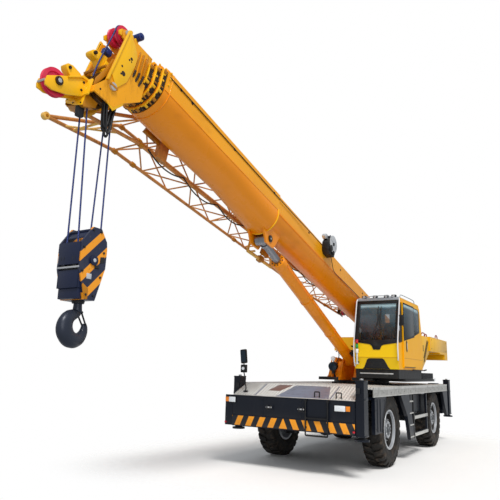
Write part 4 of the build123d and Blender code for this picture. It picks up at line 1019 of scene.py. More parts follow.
def build_jacks(sizes):
    """Caps, collars and valve blocks on the four outrigger jacks, with the feet's ball caps."""
    for end, front in (("front", True), ("rear", False)):
        for hand, side, index in (("left", 1, 0), ("right", -1, 1)):
            middle = 0.012 + 0.008 + 0.092 + index * 0.25
            station = -1.7 + middle if front else 5.41 - middle
            x = side * 1.24
            s = Shape()
            s.box((x - 0.075, station - 0.105, 1.515), (x + 0.075, station + 0.105, 1.545), 0.006)
            s.use(1).post(x, station, 1.543, 1.57, 0.03, 16, 0.004)
            s.use(0).box((x - 0.076, station - 0.106, 0.655), (x + 0.076, station + 0.106, 0.685), 0.006)
            s.box((x - 0.0745, station - 0.104, 1.22), (x + 0.0745, station + 0.104, 1.26))
            s.use(2).box((x - side * 0.02 - 0.03, station - 0.125, 1.33),
                (x - side * 0.02 + 0.03, station - 0.1, 1.42))
            s.piece(f"jack_caps_{end}_{hand}", f"beam_{end}_{hand}", "carrier_paint",
                "carrier_paint bright_metal axle_metal")
            s = Shape()
            s.turned(mm(0, 0, 0, 112, 6, 114, 24, 100, 34, 70, 50, 62, 52, 0), at(x, station, 0.592),
                (0, 0, 1), 40)
            s.piece(f"foot_caps_{end}_{hand}", f"foot_{end}_{hand}", "axle_metal", "axle_metal")


def build_mirror(sizes):
    """Round-cornered look-down mirror and camera on a bent stalk at the right front corner."""
    base = at(-0.98, -1.55, 1.27)
    hose("mirror_stalk", [base, base + UP * 0.05, at(-0.99, -1.53, 1.36), at(-1.04, -1.52, 1.44),
        at(-1.0, -1.52, 1.5), at(-1.05, -1.52, 1.58), at(-1.055, -1.52, 1.74), at(-1.055, -1.52, 1.97)],
        0.011, "carrier", "black_trim")
    s = Shape()
    s.bar(base - UP * 0.01, base + UP * 0.02, 0.045, 20, 0.004)
    s.box((-1.125, -1.55, 1.775), (-0.99, -1.5, 2.035), 0.02, Matrix.Rotation(math.radians(-6), 4, "Y"))
    s.box((-1.105, -1.56, 1.61), (-0.985, -1.5, 1.755), 0.014)
    s.use(1).box((-1.11, -1.562, 1.8), (-1.005, -1.548, 2.01), 0.006,
        Matrix.Rotation(math.radians(-6), 4, "Y"))
    # Painted light: the camera's round face takes the glowing white lamp lens, so it glows though it is no
    # lamp.
    s.use(2).rod(-1.045, -1.555, -1.572, 1.685, 0.028, 20, 0.003)
    s.piece("corner_mirror", "carrier", "black_trim", "black_trim glass_dark lamp_white")


def keel_line(along, half, start, keel, lift=0.0, wrap=0.0, count=13):
    """Points round the underside of the boom, from one flank to the other, and up each flank by wrap."""
    drop = start - keel
    radius = (half * half + drop * drop) / (2 * drop)
    middle = keel + radius
    sweep = math.atan2(half, middle - start)
    radius += lift
    points = [boom_at(radius * math.sin(t), along, middle - radius * math.cos(t))
        for t in (sweep * (2 * k / (count - 1) - 1) for k in range(count))]
    if wrap:
        points = [boom_at(-half - lift, along, start + wrap)] + points + [boom_at(half + lift, along,
            start + wrap)]
    return points


def grooved(shape, centre, radius, half=0.0225, groove=None):
    """A sheave with a rope groove, a rim, a thin web and a hub."""
    g = groove or radius - 0.011
    shape.turned([(0, 0.018), (half + 0.006, 0.018), (half + 0.006, 0.046), (half * 0.45, 0.052),
        (half * 0.4, g - 0.034), (half, g - 0.026), (half, radius), (half * 0.7, radius), (half * 0.4, g),
        (-half * 0.4, g), (-half * 0.7, radius), (-half, radius), (-half, g - 0.026),
        (-half * 0.4, g - 0.034), (-half * 0.45, 0.052), (-half - 0.006, 0.046), (-half - 0.006, 0.018),
        (0, 0.018)], centre, (1, 0, 0), 56)
    return shape


def build_boom_skin(sizes):
    """Doubler seams and rim, plugs, and the rings, bolts and lugs of the collars."""
    s = Shape()
    for side in (-1, 1):
        place = on_boom_side(side * 0.3065, side)
        s.use(0).plate(mm(6440, 26, 9495, 20, 9495, 34, 6440, 42), 0.006, place, 0.002)
        s.plate(mm(6400, 30, 6470, 30, 6470, 300, 6450, 320, 6410, 310), 0.007,
            on_boom_side(side * 0.2952, side), 0.002)
        for along, up in ((9.225, 0.235), (8.973, 0.225), (6.62, 0.247), (3.579, 0.184), (7.9, 0.235),
                (5.2, 0.235), (2.2, 0.2), (1.2, 0.2)):
            x = side * (0.307 if along > 6.42 else 0.295)
            s.use(1).boom_pin(x - side * 0.002, x + side * 0.004, along, up, 0.022, 20, 0.002)
            s.use(2).boom_pin(x + side * 0.003, x + side * 0.0085, along, up, 0.01, 6, 0.001)
        s.use(0).plate(oblong(1.5, 6.35, -0.006, 0.008), 0.004, on_boom_side(side * 0.295, side), 0.0015)
    s.piece("boom_seams", "boom_base", "boom_paint", "boom_paint black_trim axle_metal")

    hose("doubler_rim", keel_line(6.425, 0.307, 0.03, -0.362, 0.004, 0.02, 25), 0.013, "boom_base",
        "boom_paint", "boom_bright")
    hose("collar_seam", keel_line(9.4, 0.307, 0.03, -0.252, 0.003, 0.28, 25), 0.007, "boom_base",
        "boom_paint")

    for body, rear, half, keel, crown in (("boom_section_2", 9.5, 0.289, -0.234, 0.334),
            ("boom_section_3", 9.59, 0.262, -0.207, 0.307), ("boom_head", 9.68, 0.235, -0.18, 0.28)):
        s = Shape()
        # Painted highlight: the bright boom_bright ring and every fourth lump stand in for the golden glints
        # on the dark greased collars.
        for shift, radius, index in ((0.014, 0.013, 0), (0.04, 0.012, 0), (0.07, 0.0125, 1)):
            line = keel_line(rear + shift, half, 0.03, keel, 0.001, crown - 0.09, 17)
            for start, end in zip(line, line[1:]):
                s.use(index).bar(start, end, radius, 8)
                s.bar(end - ALONG * 0.008, end + ALONG * 0.008, radius, 8)
        line = keel_line(rear + 0.045, half, 0.03, keel, 0.004, crown - 0.12, 15)
        for k, place in enumerate(line):
            lump = (0.024, 0.014, 0.02, 0.011)[k % 4]
            s.use((2, 0, 1, 2)[k % 4]).bar(place - ALONG * 0.026, place + ALONG * 0.03, lump, 8, 0.004)
        s.piece(f"collar_rings_{body}", body, "boom_paint", "greased boom_bright collar_paint", 40)

    for body, front, half, keel, crown in (("boom_base", 9.5, 0.307, -0.252, 0.352),
            ("boom_section_2", 9.59, 0.289, -0.234, 0.334), ("boom_section_3", 9.68, 0.262, -0.207, 0.307),
            ("boom_head", 9.77, 0.214, -0.159, 0.259)):
        s = Shape()
        step = 0.02
        for t in range(9):
            angle = math.radians(-80 + 20 * t)
            drop = 0.03 - keel
            radius = (half * half + drop * drop) / (2 * drop)
            point = boom_at((radius - step) * math.sin(angle) * min(1, half / radius), front,
                keel + radius - (radius - step) * math.cos(angle))
            s.use(1).bar(point - ALONG * 0.002, point + ALONG * 0.012, 0.011, *BOLT)
        for up in (0.08, 0.17, 0.26):
            for side in (-1, 1):
                if up < crown - 0.03:
                    s.use(1).bar(boom_at(side * (half - 0.02), front - 0.002, up),
                        boom_at(side * (half - 0.02), front + 0.012, up), 0.011, *BOLT)
                    s.use(0).boom_pin(side * half, side * (half + 0.014), front - 0.045, up + 0.04, 0.014,
                        12, 0.002)
        for x in (-0.16, 0.0, 0.16):
            s.use(0).set_block(boom_at(0, front - 0.045, crown), (x - 0.035, -0.03, -0.012),
                (x + 0.035, 0.03, 0.045), 0.006)
        s.piece(f"collar_fixings_{body}", body, "boom_paint", "boom_bright greased")


def build_head(sizes):
    """Flanges, pins, sheaves, lugs, auxiliary arm, lamp, limit weight and cables of the boom head."""
    s = Shape()
    for side in (-1, 1):
        place = on_boom_side(side * 0.212, side)
        s.plate(mm(9940, 140, 10020, 260, 10145, 350, 10175, 300, 10235, -300, 10100, -430, 9990, -260,
            9940, 20), 0.012, place, 0.004)
        s.plate(mm(10150, 345, 10170, 350, 10255, -430, 10235, -430), 0.03, place, 0.004)
    s.use(1)
    for front, half in ((9.8, 0.25), (9.86, 0.24), (9.915, 0.228)):
        for side in (-1, 1):
            s.plate(oblong(front, front + 0.018, -0.05, 0.245), half - 0.212,
                on_boom_side(side * 0.212, side))
    for side in (-1, 1):
        x = side * 0.226
        for along, up, radius in ((10.02, 0.055, 0.02), (10.045, 0.02, 0.013), (10.01, 0.02, 0.01),
                (10.115, -0.13, 0.014), (10.07, -0.2, 0.03), (10.1, -0.225, 0.012)):
            s.use(2).boom_pin(x - side * 0.012, x, along, up, radius, 24, 0.002)
        s.use(3).boom_pin(side * 0.205, side * 0.24, *HEAD_SHEAVE, 0.045, 32, 0.005)
        s.use(1).plate(oblong(10.09, 10.205, -0.465, -0.435), 0.01, on_boom_side(side * 0.232, side), 0.002)
        s.use(3).boom_pin(side * 0.128, side * 0.15, *GUIDE_SHEAVE, 0.036, 28, 0.004)
        s.use(0).plate(mm(9800, 245, 9840, 245, 10080, 430, 10060, 455), 0.012,
            on_boom_side(side * 0.13, side))
        s.plate(mm(10190, 400, 10225, 345, 10205, 300, 10165, 310), 0.02, on_boom_side(side * 0.108, side))
    s.piece("head_plates", "boom_head", "boom_paint", "boom_bright collar_paint greased bright_metal")

    s = Shape()
    for front, half, keel in ((9.8, 0.25, -0.2), (9.86, 0.24, -0.19), (9.915, 0.228, -0.18)):
        line = keel_line(front + 0.009, half, -0.03, keel - 0.06, 0.0, 0.0, 17)
        for start, end in zip(line, line[1:]):
            s.use(0).bar(start, end, 0.014, 10)
        for k in (3, 6, 10, 13):
            s.use(1).bar(line[k] - ALONG * 0.016, line[k] + ALONG * 0.022, 0.013, *BOLT)
    s.piece("head_rings", "boom_head", "boom_paint", "greased collar_paint", 40)

    s = Shape()
    for x in (-0.055, 0.055):
        grooved(s.use(0), boom_at(x, *GUIDE_SHEAVE), 0.112, groove=0.103)
    for x in (-0.08, 0.08):
        grooved(s.use(2), boom_at(x, *HEAD_SHEAVE), 0.18, groove=0.1695)
    s.use(1).boom_pin(-0.2, 0.2, *HEAD_SHEAVE, 0.02, 24)
    s.boom_pin(-0.13, 0.13, *GUIDE_SHEAVE, 0.0185, 24)
    s.piece("grooved_head_sheaves", "boom_head", "sheave_nylon", "sheave_nylon bright_metal sheave_brown",
        replaces=["head_sheaves"])

    s, box = Shape(), on_boom_side(-0.2)
    s.plate(mm(10346, -655, 10350, -800, 10325, -822, 10180, -735, 10172, -660), 0.008, on_boom_side(0.085))
    s.plate(mm(10346, -655, 10350, -720, 10345, -735, 10180, -720, 10172, -660), 0.008, box)
    front = lambda u, v, d: boom_at(u, 10.352 - d, v)
    s.use(1).plate(mm(-212, -650, 93, -650, 93, -815, -20, -790, -175, -725, -212, -690), 0.01, front)
    s.use(0).plate(oblong(-0.195, 0.088, 10.2, 10.335), 0.006, lambda u, v,
        d: boom_at(u, v, -0.745 - 0.07 * (u + 0.19) / 0.28 * (v - 10.16) / 0.17 + d), 0.002)
    for x, up in ((-0.18, -0.675), (-0.06, -0.675), (0.065, -0.675), (0.065, -0.785), (-0.06, -0.755)):
        s.use(2).bar(boom_at(x, 10.352, up), boom_at(x, 10.361, up), 0.01, *BOLT)
    for side in (-1, 1):
        s.use(2).boom_pin(side * 0.232, side * 0.24, 10.3, -0.61, 0.012, *BOLT)
        s.use(0).plate(mm(10190, -90, 10215, -90, 10275, -300, 10345, -470, 10345, -560, 10325, -560, 10235,
            -360), 0.014, on_boom_side(side * 0.155, side))
    s.use(0).boom_pin(-0.165, 0.165, 10.27, -0.245, 0.016, 16)
    s.piece("head_box", "boom_head", "boom_paint", "collar_paint boom_bright greased")

    s = Shape()
    s.plate(mm(10200, -20, 10360, -55, 10405, -90, 10420, -125, 10405, -155, 10370, -160, 10310, -155,
        10240, -230, 10180, -230), 0.1, on_boom_side(-0.05), 0.01)
    s.plate(mm(10340, -555, 10400, -500, 10450, -470, 10560, -455, 10620, -475, 10640, -510, 10620, -545,
        10540, -600, 10400, -660), 0.09, on_boom_side(-0.045), 0.008)
    for x in (0.06, -0.076):
        s.plate(mm(10180, -100, 10225, -100, 10260, -360, 10370, -500, 10370, -560, 10200, -450), 0.016,
            on_boom_side(x))
    s.use(1).boom_pin(-0.06, 0.08, 10.375, -0.115, 0.02, 20, 0.003)
    s.boom_pin(-0.06, 0.06, 10.59, -0.51, 0.018, 20, 0.003)
    s.use(2).set_block(boom_at(0.02, 10.215, 0.045), (-0.045, -0.045, -0.04), (0.045, 0.045, 0.04), 0.01)
    s.use(1).boom_pin(-0.205, 0.205, 10.3, -0.6, 0.016, 20)
    s.use(0)
    for side in (-1, 1):
        s.plate(mm(10020, -400, 10150, -660, 10050, -700, 9950, -560, 9900, -420), 0.01,
            on_boom_side(side * 0.2, side))
    s.piece("head_lugs", "boom_head", "boom_paint", "boom_bright greased blue_cap")

    s = Shape()
    for side in (-1, 1):
        place = on_boom_side(side * 0.05, side)
        s.use(0).plate(mm(10352, -500, 10352, -705, 10530, -825, 10700, -902, 10788, -905, 10802, -865,
            10800, -800, 10660, -685, 10530, -585, 10430, -520), 0.022, place, 0.005)
        s.plate(mm(10352, -490, 10440, -500, 10600, -640, 10590, -655, 10440, -530, 10352, -515), 0.04,
            place)
        s.use(2).boom_pin(side * 0.066, side * 0.09, *AUXILIARY_SHEAVE, 0.046, 32, 0.004)
        s.use(1).boom_pin(side * 0.086, side * 0.097, *AUXILIARY_SHEAVE, 0.026, 6, 0.003)
        for along, up in ((10.4, -0.56), (10.4, -0.66)):
            s.use(2).boom_pin(side * 0.07, side * 0.082, along, up, 0.014, *BOLT)
    s.use(0).set_block(boom_at(0, 10.352, -0.6), (-0.152, -0.018, -0.1), (0.152, 0.004, 0.1))
    grooved(s.use(3), boom_at(0, *AUXILIARY_SHEAVE), 0.15, half=0.024, groove=0.136)
    s.use(1).boom_pin(-0.05, 0.05, 10.8, -0.845, 0.012, 16)
    s.piece("auxiliary_arm_shaped", "boom_head", "boom_paint",
        "boom_bright bright_metal greased sheave_nylon", replaces=["auxiliary_arm"])

    s = Shape()
    s.boom_pin(-0.085, 0.085, 9.86, 0.61, 0.047, 28, 0.01)
    s.boom_pin(-0.1, 0.1, 9.86, 0.61, 0.022, 20, 0.003)
    s.use(1).plate(mm(9815, 300, 9845, 300, 9905, 560, 9875, 585), 0.01, on_boom_side(0.014), 0.002)
    s.plate(mm(9945, 470, 9985, 470, 9985, 615, 9965, 625, 9945, 615), 0.014, on_boom_side(0.0), 0.004)
    s.bar(boom_at(0.0, 9.96, 0.48), boom_at(0.0, 9.88, 0.4), 0.01, 10)
    s.use(2).set_block(boom_at(0.1, 9.9, 0.245), (-0.06, 0.0, 0.0), (0.06, 0.1, 0.09), 0.012)
    s.piece("head_lamp", "boom_head", "black_trim", "blue_cap boom_bright axle_metal")

    drop = boom_at(0, 10.33, -0.66)
    s = Shape()
    s.bar(drop, drop - UP * 0.1, 0.028, 20, 0.006)
    s.block(drop + Vector((-0.03, -0.04, -0.24)), drop + Vector((0.03, 0.04, -0.08)), 0.01)
    s.piece("limit_weight", "boom_head", "black_trim", "axle_metal")
    start, lines = boom_at(0.122, 10.14, -0.6), []
    for dx, dy, run in ((0.0, 0.0, 0.32), (0.018, 0.02, 0.38), (0.035, -0.01, 0.29), (0.052, 0.015, 0.35)):
        a = start + Vector((dx, dy, 0))
        lines.append([a + Vector((0, 0.02, 0.12)), a, a + UP * (-run * 0.5), a + Vector((0.0, 0.01, -run)),
            a + Vector((0.004, 0.035, -run - 0.035)), a + Vector((0.004, 0.065, -run + 0.01)),
            a + Vector((0.002, 0.09, -run + 0.2)), a + Vector((0.0, 0.14, 0.02)),
            boom_at(0.13 + dx * 0.5, 9.86, -0.26)])
    hose("head_cables", lines, 0.013, "boom_head", "black_trim")


def build_reel(sizes):
    """Cable reel with spokes, wound cable, a cover and its lead along the boom."""
    centre = boom_at(0, 4.4, 0.362)
    s = Shape()
    for x0, x1 in ((0.3, 0.312), (0.438, 0.452)):
        s.use(3).turned([(x0, 0.02), (x0, 0.166), (x0 + 0.004, 0.171), (x1 - 0.002, 0.171), (x1, 0.166),
            (x1, 0.02), (x0, 0.02)], centre, (1, 0, 0), 48)
    s.use(1).turned([(0.312, 0.06)] + [(0.312 + (k + 0.5) * 0.0126, 0.144 + 0.0063 * (k % 2))
        for k in range(10)] + [(0.438, 0.06), (0.312, 0.06)], centre, (1, 0, 0), 48)
    s.use(2).turned(mm(451, 0, 466, 0, 466, 26, 460, 34, 451, 36, 451, 0), centre, (1, 0, 0), 36)
    s.use(0).ring_of(6, centre, (1, 0, 0), lambda t: t.block(centre + Vector((0.45, -0.006, 0.05)),
        centre + Vector((0.4545, 0.006, 0.16)), 0.001))
    s.use(1).plate(mm(4270, 150, 4330, 120, 4520, 120, 4585, 190, 4600, 340, 4540, 420, 4475, 390, 4420,
        290, 4340, 250, 4270, 240), 0.138, on_boom_side(0.2955), 0.01)
    # Painted glint: a small bright plate on top of the reel, in the rim_bright finish, stands in for the
    # light catching it.
    s.use(3).plate(mm(4520, 430, 4600, 400, 4660, 440, 4620, 500, 4540, 510), 0.075, on_boom_side(0.3),
        0.006)
    s.use(1).boom_pin(0.4, 0.468, 4.5, 0.235, 0.06, 28, 0.008)
    s.boom_pin(0.38, 0.462, 4.37, 0.19, 0.045, 24, 0.006)
    s.use(0).plate(mm(4270, 420, 4310, 510, 4400, 548, 4500, 510, 4470, 490, 4395, 525, 4330, 485, 4290,
        420), 0.1, on_boom_side(0.303), 0.004)
    s.use(2).bar(boom_at(0.35, 4.36, 0.53), boom_at(0.35, 4.36, 0.59), 0.012, 12, 0.003)
    s.piece("cable_reel_wound", "boom_base", "reel_metal", "reel_metal black_trim axle_metal rim_bright",
        replaces=["cable_reel"])
    line = [boom_at(0.36, 4.55, 0.2), boom_at(0.345, 5.2, 0.22)] + [boom_at(0.316, a, 0.235)
        for a in (5.8, 6.6, 7.4, 8.2, 9.0, 9.46)]
    hose("reel_lead", [line, path(boom_at, (0.37, 4.32, 0.18), (0.38, 4.22, 0.05), (0.345, 4.05, -0.06),
        (0.325, 3.6, -0.02), (0.31, 2.6, 0.02), (0.305, 1.2, 0.02))], 0.007, "boom_base", "black_trim",
        sides=10)


def build_ropes(sizes):
    """Hoist rope from the drum, along the boom's top, over the guide sheave and down to the head sheaves."""
    r, side = sizes.rope_radius, 0.055
    top = [boom_at(side, a, 0.395) for a in (-0.12, 0.6, 2.0, 4.0, 6.0, 8.0, 9.4)]
    hose("rope_on_boom", top, r, "boom_base", "rope")
    for a, b, start, end in (("boom_base", "boom_section_2", 9.4, 9.52),
            ("boom_section_2", "boom_section_3", 9.52, 9.61), ("boom_section_3", "boom_head", 9.61, 9.72)):
        piece = hose(f"rope_to_{b}", [boom_at(side, start + (end - start) * k / 6,
            0.395 + (0.09 * max(0, (start - 9.4 + (end - start) * k / 6) / 0.6))) for k in range(7)], r,
            None, "rope")
        boom_at(side, start, 0.395)
        boom_at(side, end, 0.395)
        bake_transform(piece)
    arc = [boom_at(side, 9.72, 0.443), boom_at(side, 9.9, 0.47)]
    arc += [boom_at(side, 10.11 + 0.112 * math.sin(math.radians(t)), 0.39 + 0.112
        * math.cos(math.radians(t))) for t in range(-20, 101, 15)]
    arc += path(boom_at, (0.062, 10.246, 0.2), (0.07, 10.29, -0.05), (0.078, 10.322, -0.3),
        (0.08, 10.3255, -0.41))
    hose("rope_at_head", arc, r, "boom_head", "rope")
    s = Shape()
    for x in (-0.12, 0.12):
        for along in (0.0, 3.2, 6.4, 9.1):
            up = 0.34 if along < 6.42 else 0.352
            s.use(0).bar(boom_at(x, along, up - 0.002), boom_at(x, along, up + 0.075), 0.012, 10)
    for along in (0.0, 3.2, 6.4, 9.1):
        up = 0.372 if along < 6.42 else 0.376
        s.use(1).boom_pin(-0.15, 0.15, along, up, 0.013, 16, 0.002)
    s.piece("rope_rollers", "boom_base", "axle_metal", "boom_paint bright_metal")
    drum = at(side, *MAIN_DRUM)
    lead = hose("rope_from_drum", [drum + UP * 0.178, drum + Vector((0, -0.1, 0.215)), at(side, 4.3, 2.66),
        boom_at(side, -0.3, 0.365), boom_at(side, -0.12, 0.395)], r, None, "rope")
    at(side, 4.30, 2.66)
    boom_at(side, -0.12, 0.395)
    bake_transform(lead)
    for name, body, axle, low, high in (("main_rope_wound", "main_drum", MAIN_DRUM, 0.15, 0.186),
            ("auxiliary_rope_wound", "auxiliary_drum", AUXILIARY_DRUM, 0.11, 0.138)):
        s = Shape()
        turns = 26
        ridge = [(-0.255, low - 0.03)]
        for k in range(turns):
            a = -0.255 + 0.51 * (k + 0.5) / turns
            ridge += [(a - 0.0085, high - 0.006), (a, high), (a + 0.0085, high - 0.006)]
        ridge += [(0.255, low - 0.03), ridge[0]]
        s.turned(ridge, at(0, *axle), (1, 0, 0), 40)
        s.piece(name, body, "rope", "rope", 60)


def build_falls(sizes):
    """Four falls of wire rope between the head sheaves and the hook block, in place of the rope_falls part.
    """
    low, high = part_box("rope_falls")
    r, s = sizes.rope_radius, Shape()
    for x in (low.x + r, high.x - r):
        for y in (low.y + r, high.y - r):
            s.bar((x, SHEAVE.y + 0.8 * (y - SHEAVE.y), low.z + 0.1), (0.55 * x, y, high.z), r, 16)
    falls = s.piece("hoist_falls", None, "rope", "rope", 40, ["rope_falls"])
    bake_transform(falls)


def build_block(sizes):
    """Covers, ties, pins, bolts and sheaves of the hook block, and the forged hook with its safety latch."""
    y, z = SHEAVE.y, 2.7
    s = Shape()
    s.plate(oblong(-0.149, 0.149, 2.64, 2.865), 0.008, facing_front(y - 0.1705))
    s.plate(oblong(-0.149, 0.149, 2.405, 2.585), 0.008, facing_front(y - 0.156))
    for x in (-0.149, 0.141):
        s.plate(((y - 0.174, 2.64), (y - 0.174, 2.865), (y - 0.13, 2.865), (y - 0.12, 2.64)), 0.008,
            facing_side(x), 0.002)
        s.plate(((y - 0.164, 2.405), (y - 0.164, 2.585), (y - 0.12, 2.585), (y - 0.1, 2.405)), 0.008,
            facing_side(x), 0.002)
    s.use(1).bar((-0.155, y - 0.168, 2.612), (0.155, y - 0.168, 2.612), 0.011, 12, 0.002)
    s.use(2).plate(oblong(-0.141, 0.141, 2.586, 2.64), 0.006, facing_front(y - 0.14), 0.001)
    # Painted highlight: a thin bright strip along the left edge of the upper cover.
    s.use(3).plate(oblong(-0.1475, -0.1425, 2.655, 2.735), 0.002, facing_front(y - 0.1787), 0.0005)
    s.use(0).plate(oblong(-0.141, 0.141, 2.3, 2.425), 0.06, facing_front(y - 0.086), 0.005)
    s.plate(oblong(-0.141, 0.141, 2.625, 2.83), 0.008, lambda u, v, d: Vector((u, y + 0.15 + d, v)))
    s.plate(oblong(-0.141, 0.141, 2.33, 2.56), 0.008, lambda u, v, d: Vector((u,
        y + 0.078 + (v - 2.33) * 0.32 + d, v)))
    for dy, top in ((-0.05, 3.005), (0.06, 3.005)):
        s.use(0).bar((-0.141, y + dy, top), (0.141, y + dy, top), 0.017, 20, 0.002)
    s.plate(oblong(-0.141, 0.141, y - 0.112, y - 0.04), 0.012, lambda u, v,
        d: Vector((u, v, 2.915 + (v - (y - 0.112)) * 1.25 + d)))
    for side in (-1, 1):
        s.use(0).bar((side * 0.162, y, z), (side * 0.184, y, z), 0.052, 36, 0.005)
        s.use(3).bar((side * 0.182, y, z), (side * 0.188, y, z), 0.02, 24, 0.002)
        s.use(2).block((side * 0.164, y + 0.02, z - 0.075), (side * 0.178, y + 0.075, z - 0.045), 0.003)
        for dy, h in ((-0.135, 2.815), (-0.135, 2.575), (0.13, 2.8), (0.105, 2.54), (-0.068, 2.345),
                (0.035, 2.345), (-0.03, 3.01), (0.075, 3.01)):
            s.use(2).bar((side * 0.163, y + dy, h), (side * 0.175, y + dy, h), 0.013, *BOLT)
        s.use(3).plate(oblong(y - 0.075, y - 0.01, 2.505, 2.56), 0.003, facing_side(side * 0.165, side),
            0.001)
        s.use(4).plate(((y - 0.084, 2.3), (y - 0.04, 2.3), (y - 0.04, 2.41), (y - 0.115, 2.455),
            (y - 0.125, 2.43)), 0.004, facing_side(side * 0.165, side), 0.001)
        s.use(2).plate(((y + 0.085, 2.68), (y + 0.15, 2.7), (y + 0.145, 2.76), (y + 0.09, 2.75)), 0.003,
            facing_side(side * 0.165, side), 0.001)
    for x in (-0.08, 0.08):
        grooved(s.use(5), Vector((x, y, z)), 0.18, groove=0.1695)
    s.piece("hook_block_fittings", "hook_block", "hook_block_paint",
        "block_dark bright_metal axle_metal rim_bright collar_paint sheave_dark")

    turn = math.radians(97)
    across, square = Vector((math.cos(turn), math.sin(turn), 0)), Vector((math.sin(turn), -math.cos(turn),
        0))
    centre = Vector((0, y, 2.012))
    table = ((88, 0.15, 0.046), (105, 0.14, 0.056), (130, 0.146, 0.07), (155, 0.158, 0.083),
        (180, 0.166, 0.092), (205, 0.166, 0.096), (235, 0.158, 0.094), (265, 0.146, 0.085),
        (295, 0.136, 0.07), (325, 0.128, 0.056), (350, 0.126, 0.046), (370, 0.126, 0.037),
        (382, 0.128, 0.026))
    rows = [(centre + UP * 0.285, 0.041), (centre + UP * 0.22, 0.043), (centre + UP * 0.18, 0.048)]
    rows += [(centre + (across * math.cos(math.radians(a)) + Vector((0, 0, math.sin(math.radians(a))))) * r,
        w) for a, r, w in table]
    mesh = swept("hook_line", [[place for place, _ in rows]], 1.0, 5, 5, [width for _, width in rows])
    s = Shape()
    s.bm.from_mesh(mesh)
    bpy.data.meshes.remove(mesh)
    flat = Matrix.Translation(centre) @ Matrix.Scale(0.74, 4, square) @ Matrix.Translation(-centre)
    low = [v for v in s.bm.verts if v.co.z < centre.z + 0.16]
    bmesh.ops.transform(s.bm, matrix=flat, verts=low)
    bmesh.ops.transform(s.bm, matrix=Matrix.Translation((0, 0, 2.297)) @ Matrix.Scale(0.93, 4, (0, 0, 1))
        @ Matrix.Translation((0, 0, -2.297)), verts=s.bm.verts[:])
    centre = centre + UP * 0.02
    for face in s.bm.faces:
        face.material_index = 0
    s.use(1).turned(mm(0, 0, 0, 60, 22, 66, 45, 60, 45, 0), centre + UP * 0.236, (0, 0, 1), 36)
    tip = centre + across * 0.115 + UP * 0.03
    root = centre + across * 0.03 + UP * 0.15
    for side in (-1, 1):
        s.use(1).bar(root + square * side * 0.03, tip + square * side * 0.024, 0.009, 10)
    s.bar(root - square * 0.044, root + square * 0.044, 0.012, 14, 0.002)
    s.bar(tip - square * 0.028, tip + square * 0.028, 0.01)
    s.piece("hook_forged", "hook", "hook_steel", "hook_steel axle_metal", 50, ["hook"])


def cab_front(lift=0.0):
    """Places a plate on the raked windscreen face of the cab: u is X, v is Z."""
    lean = Vector((0, -0.969, 0.2475))
    return lambda u, v, depth: at(u, 0.625 + (v - 2.3) * 0.2554, v) + lean * (depth + lift)


def cab_chin(lift=0.0):
    """Places a plate on the face below the windscreen."""
    lean = Vector((0, -0.977, -0.212))
    return lambda u, v, depth: at(u, 0.66 - (v - 1.75) * 0.2174, v) + lean * (depth + lift)


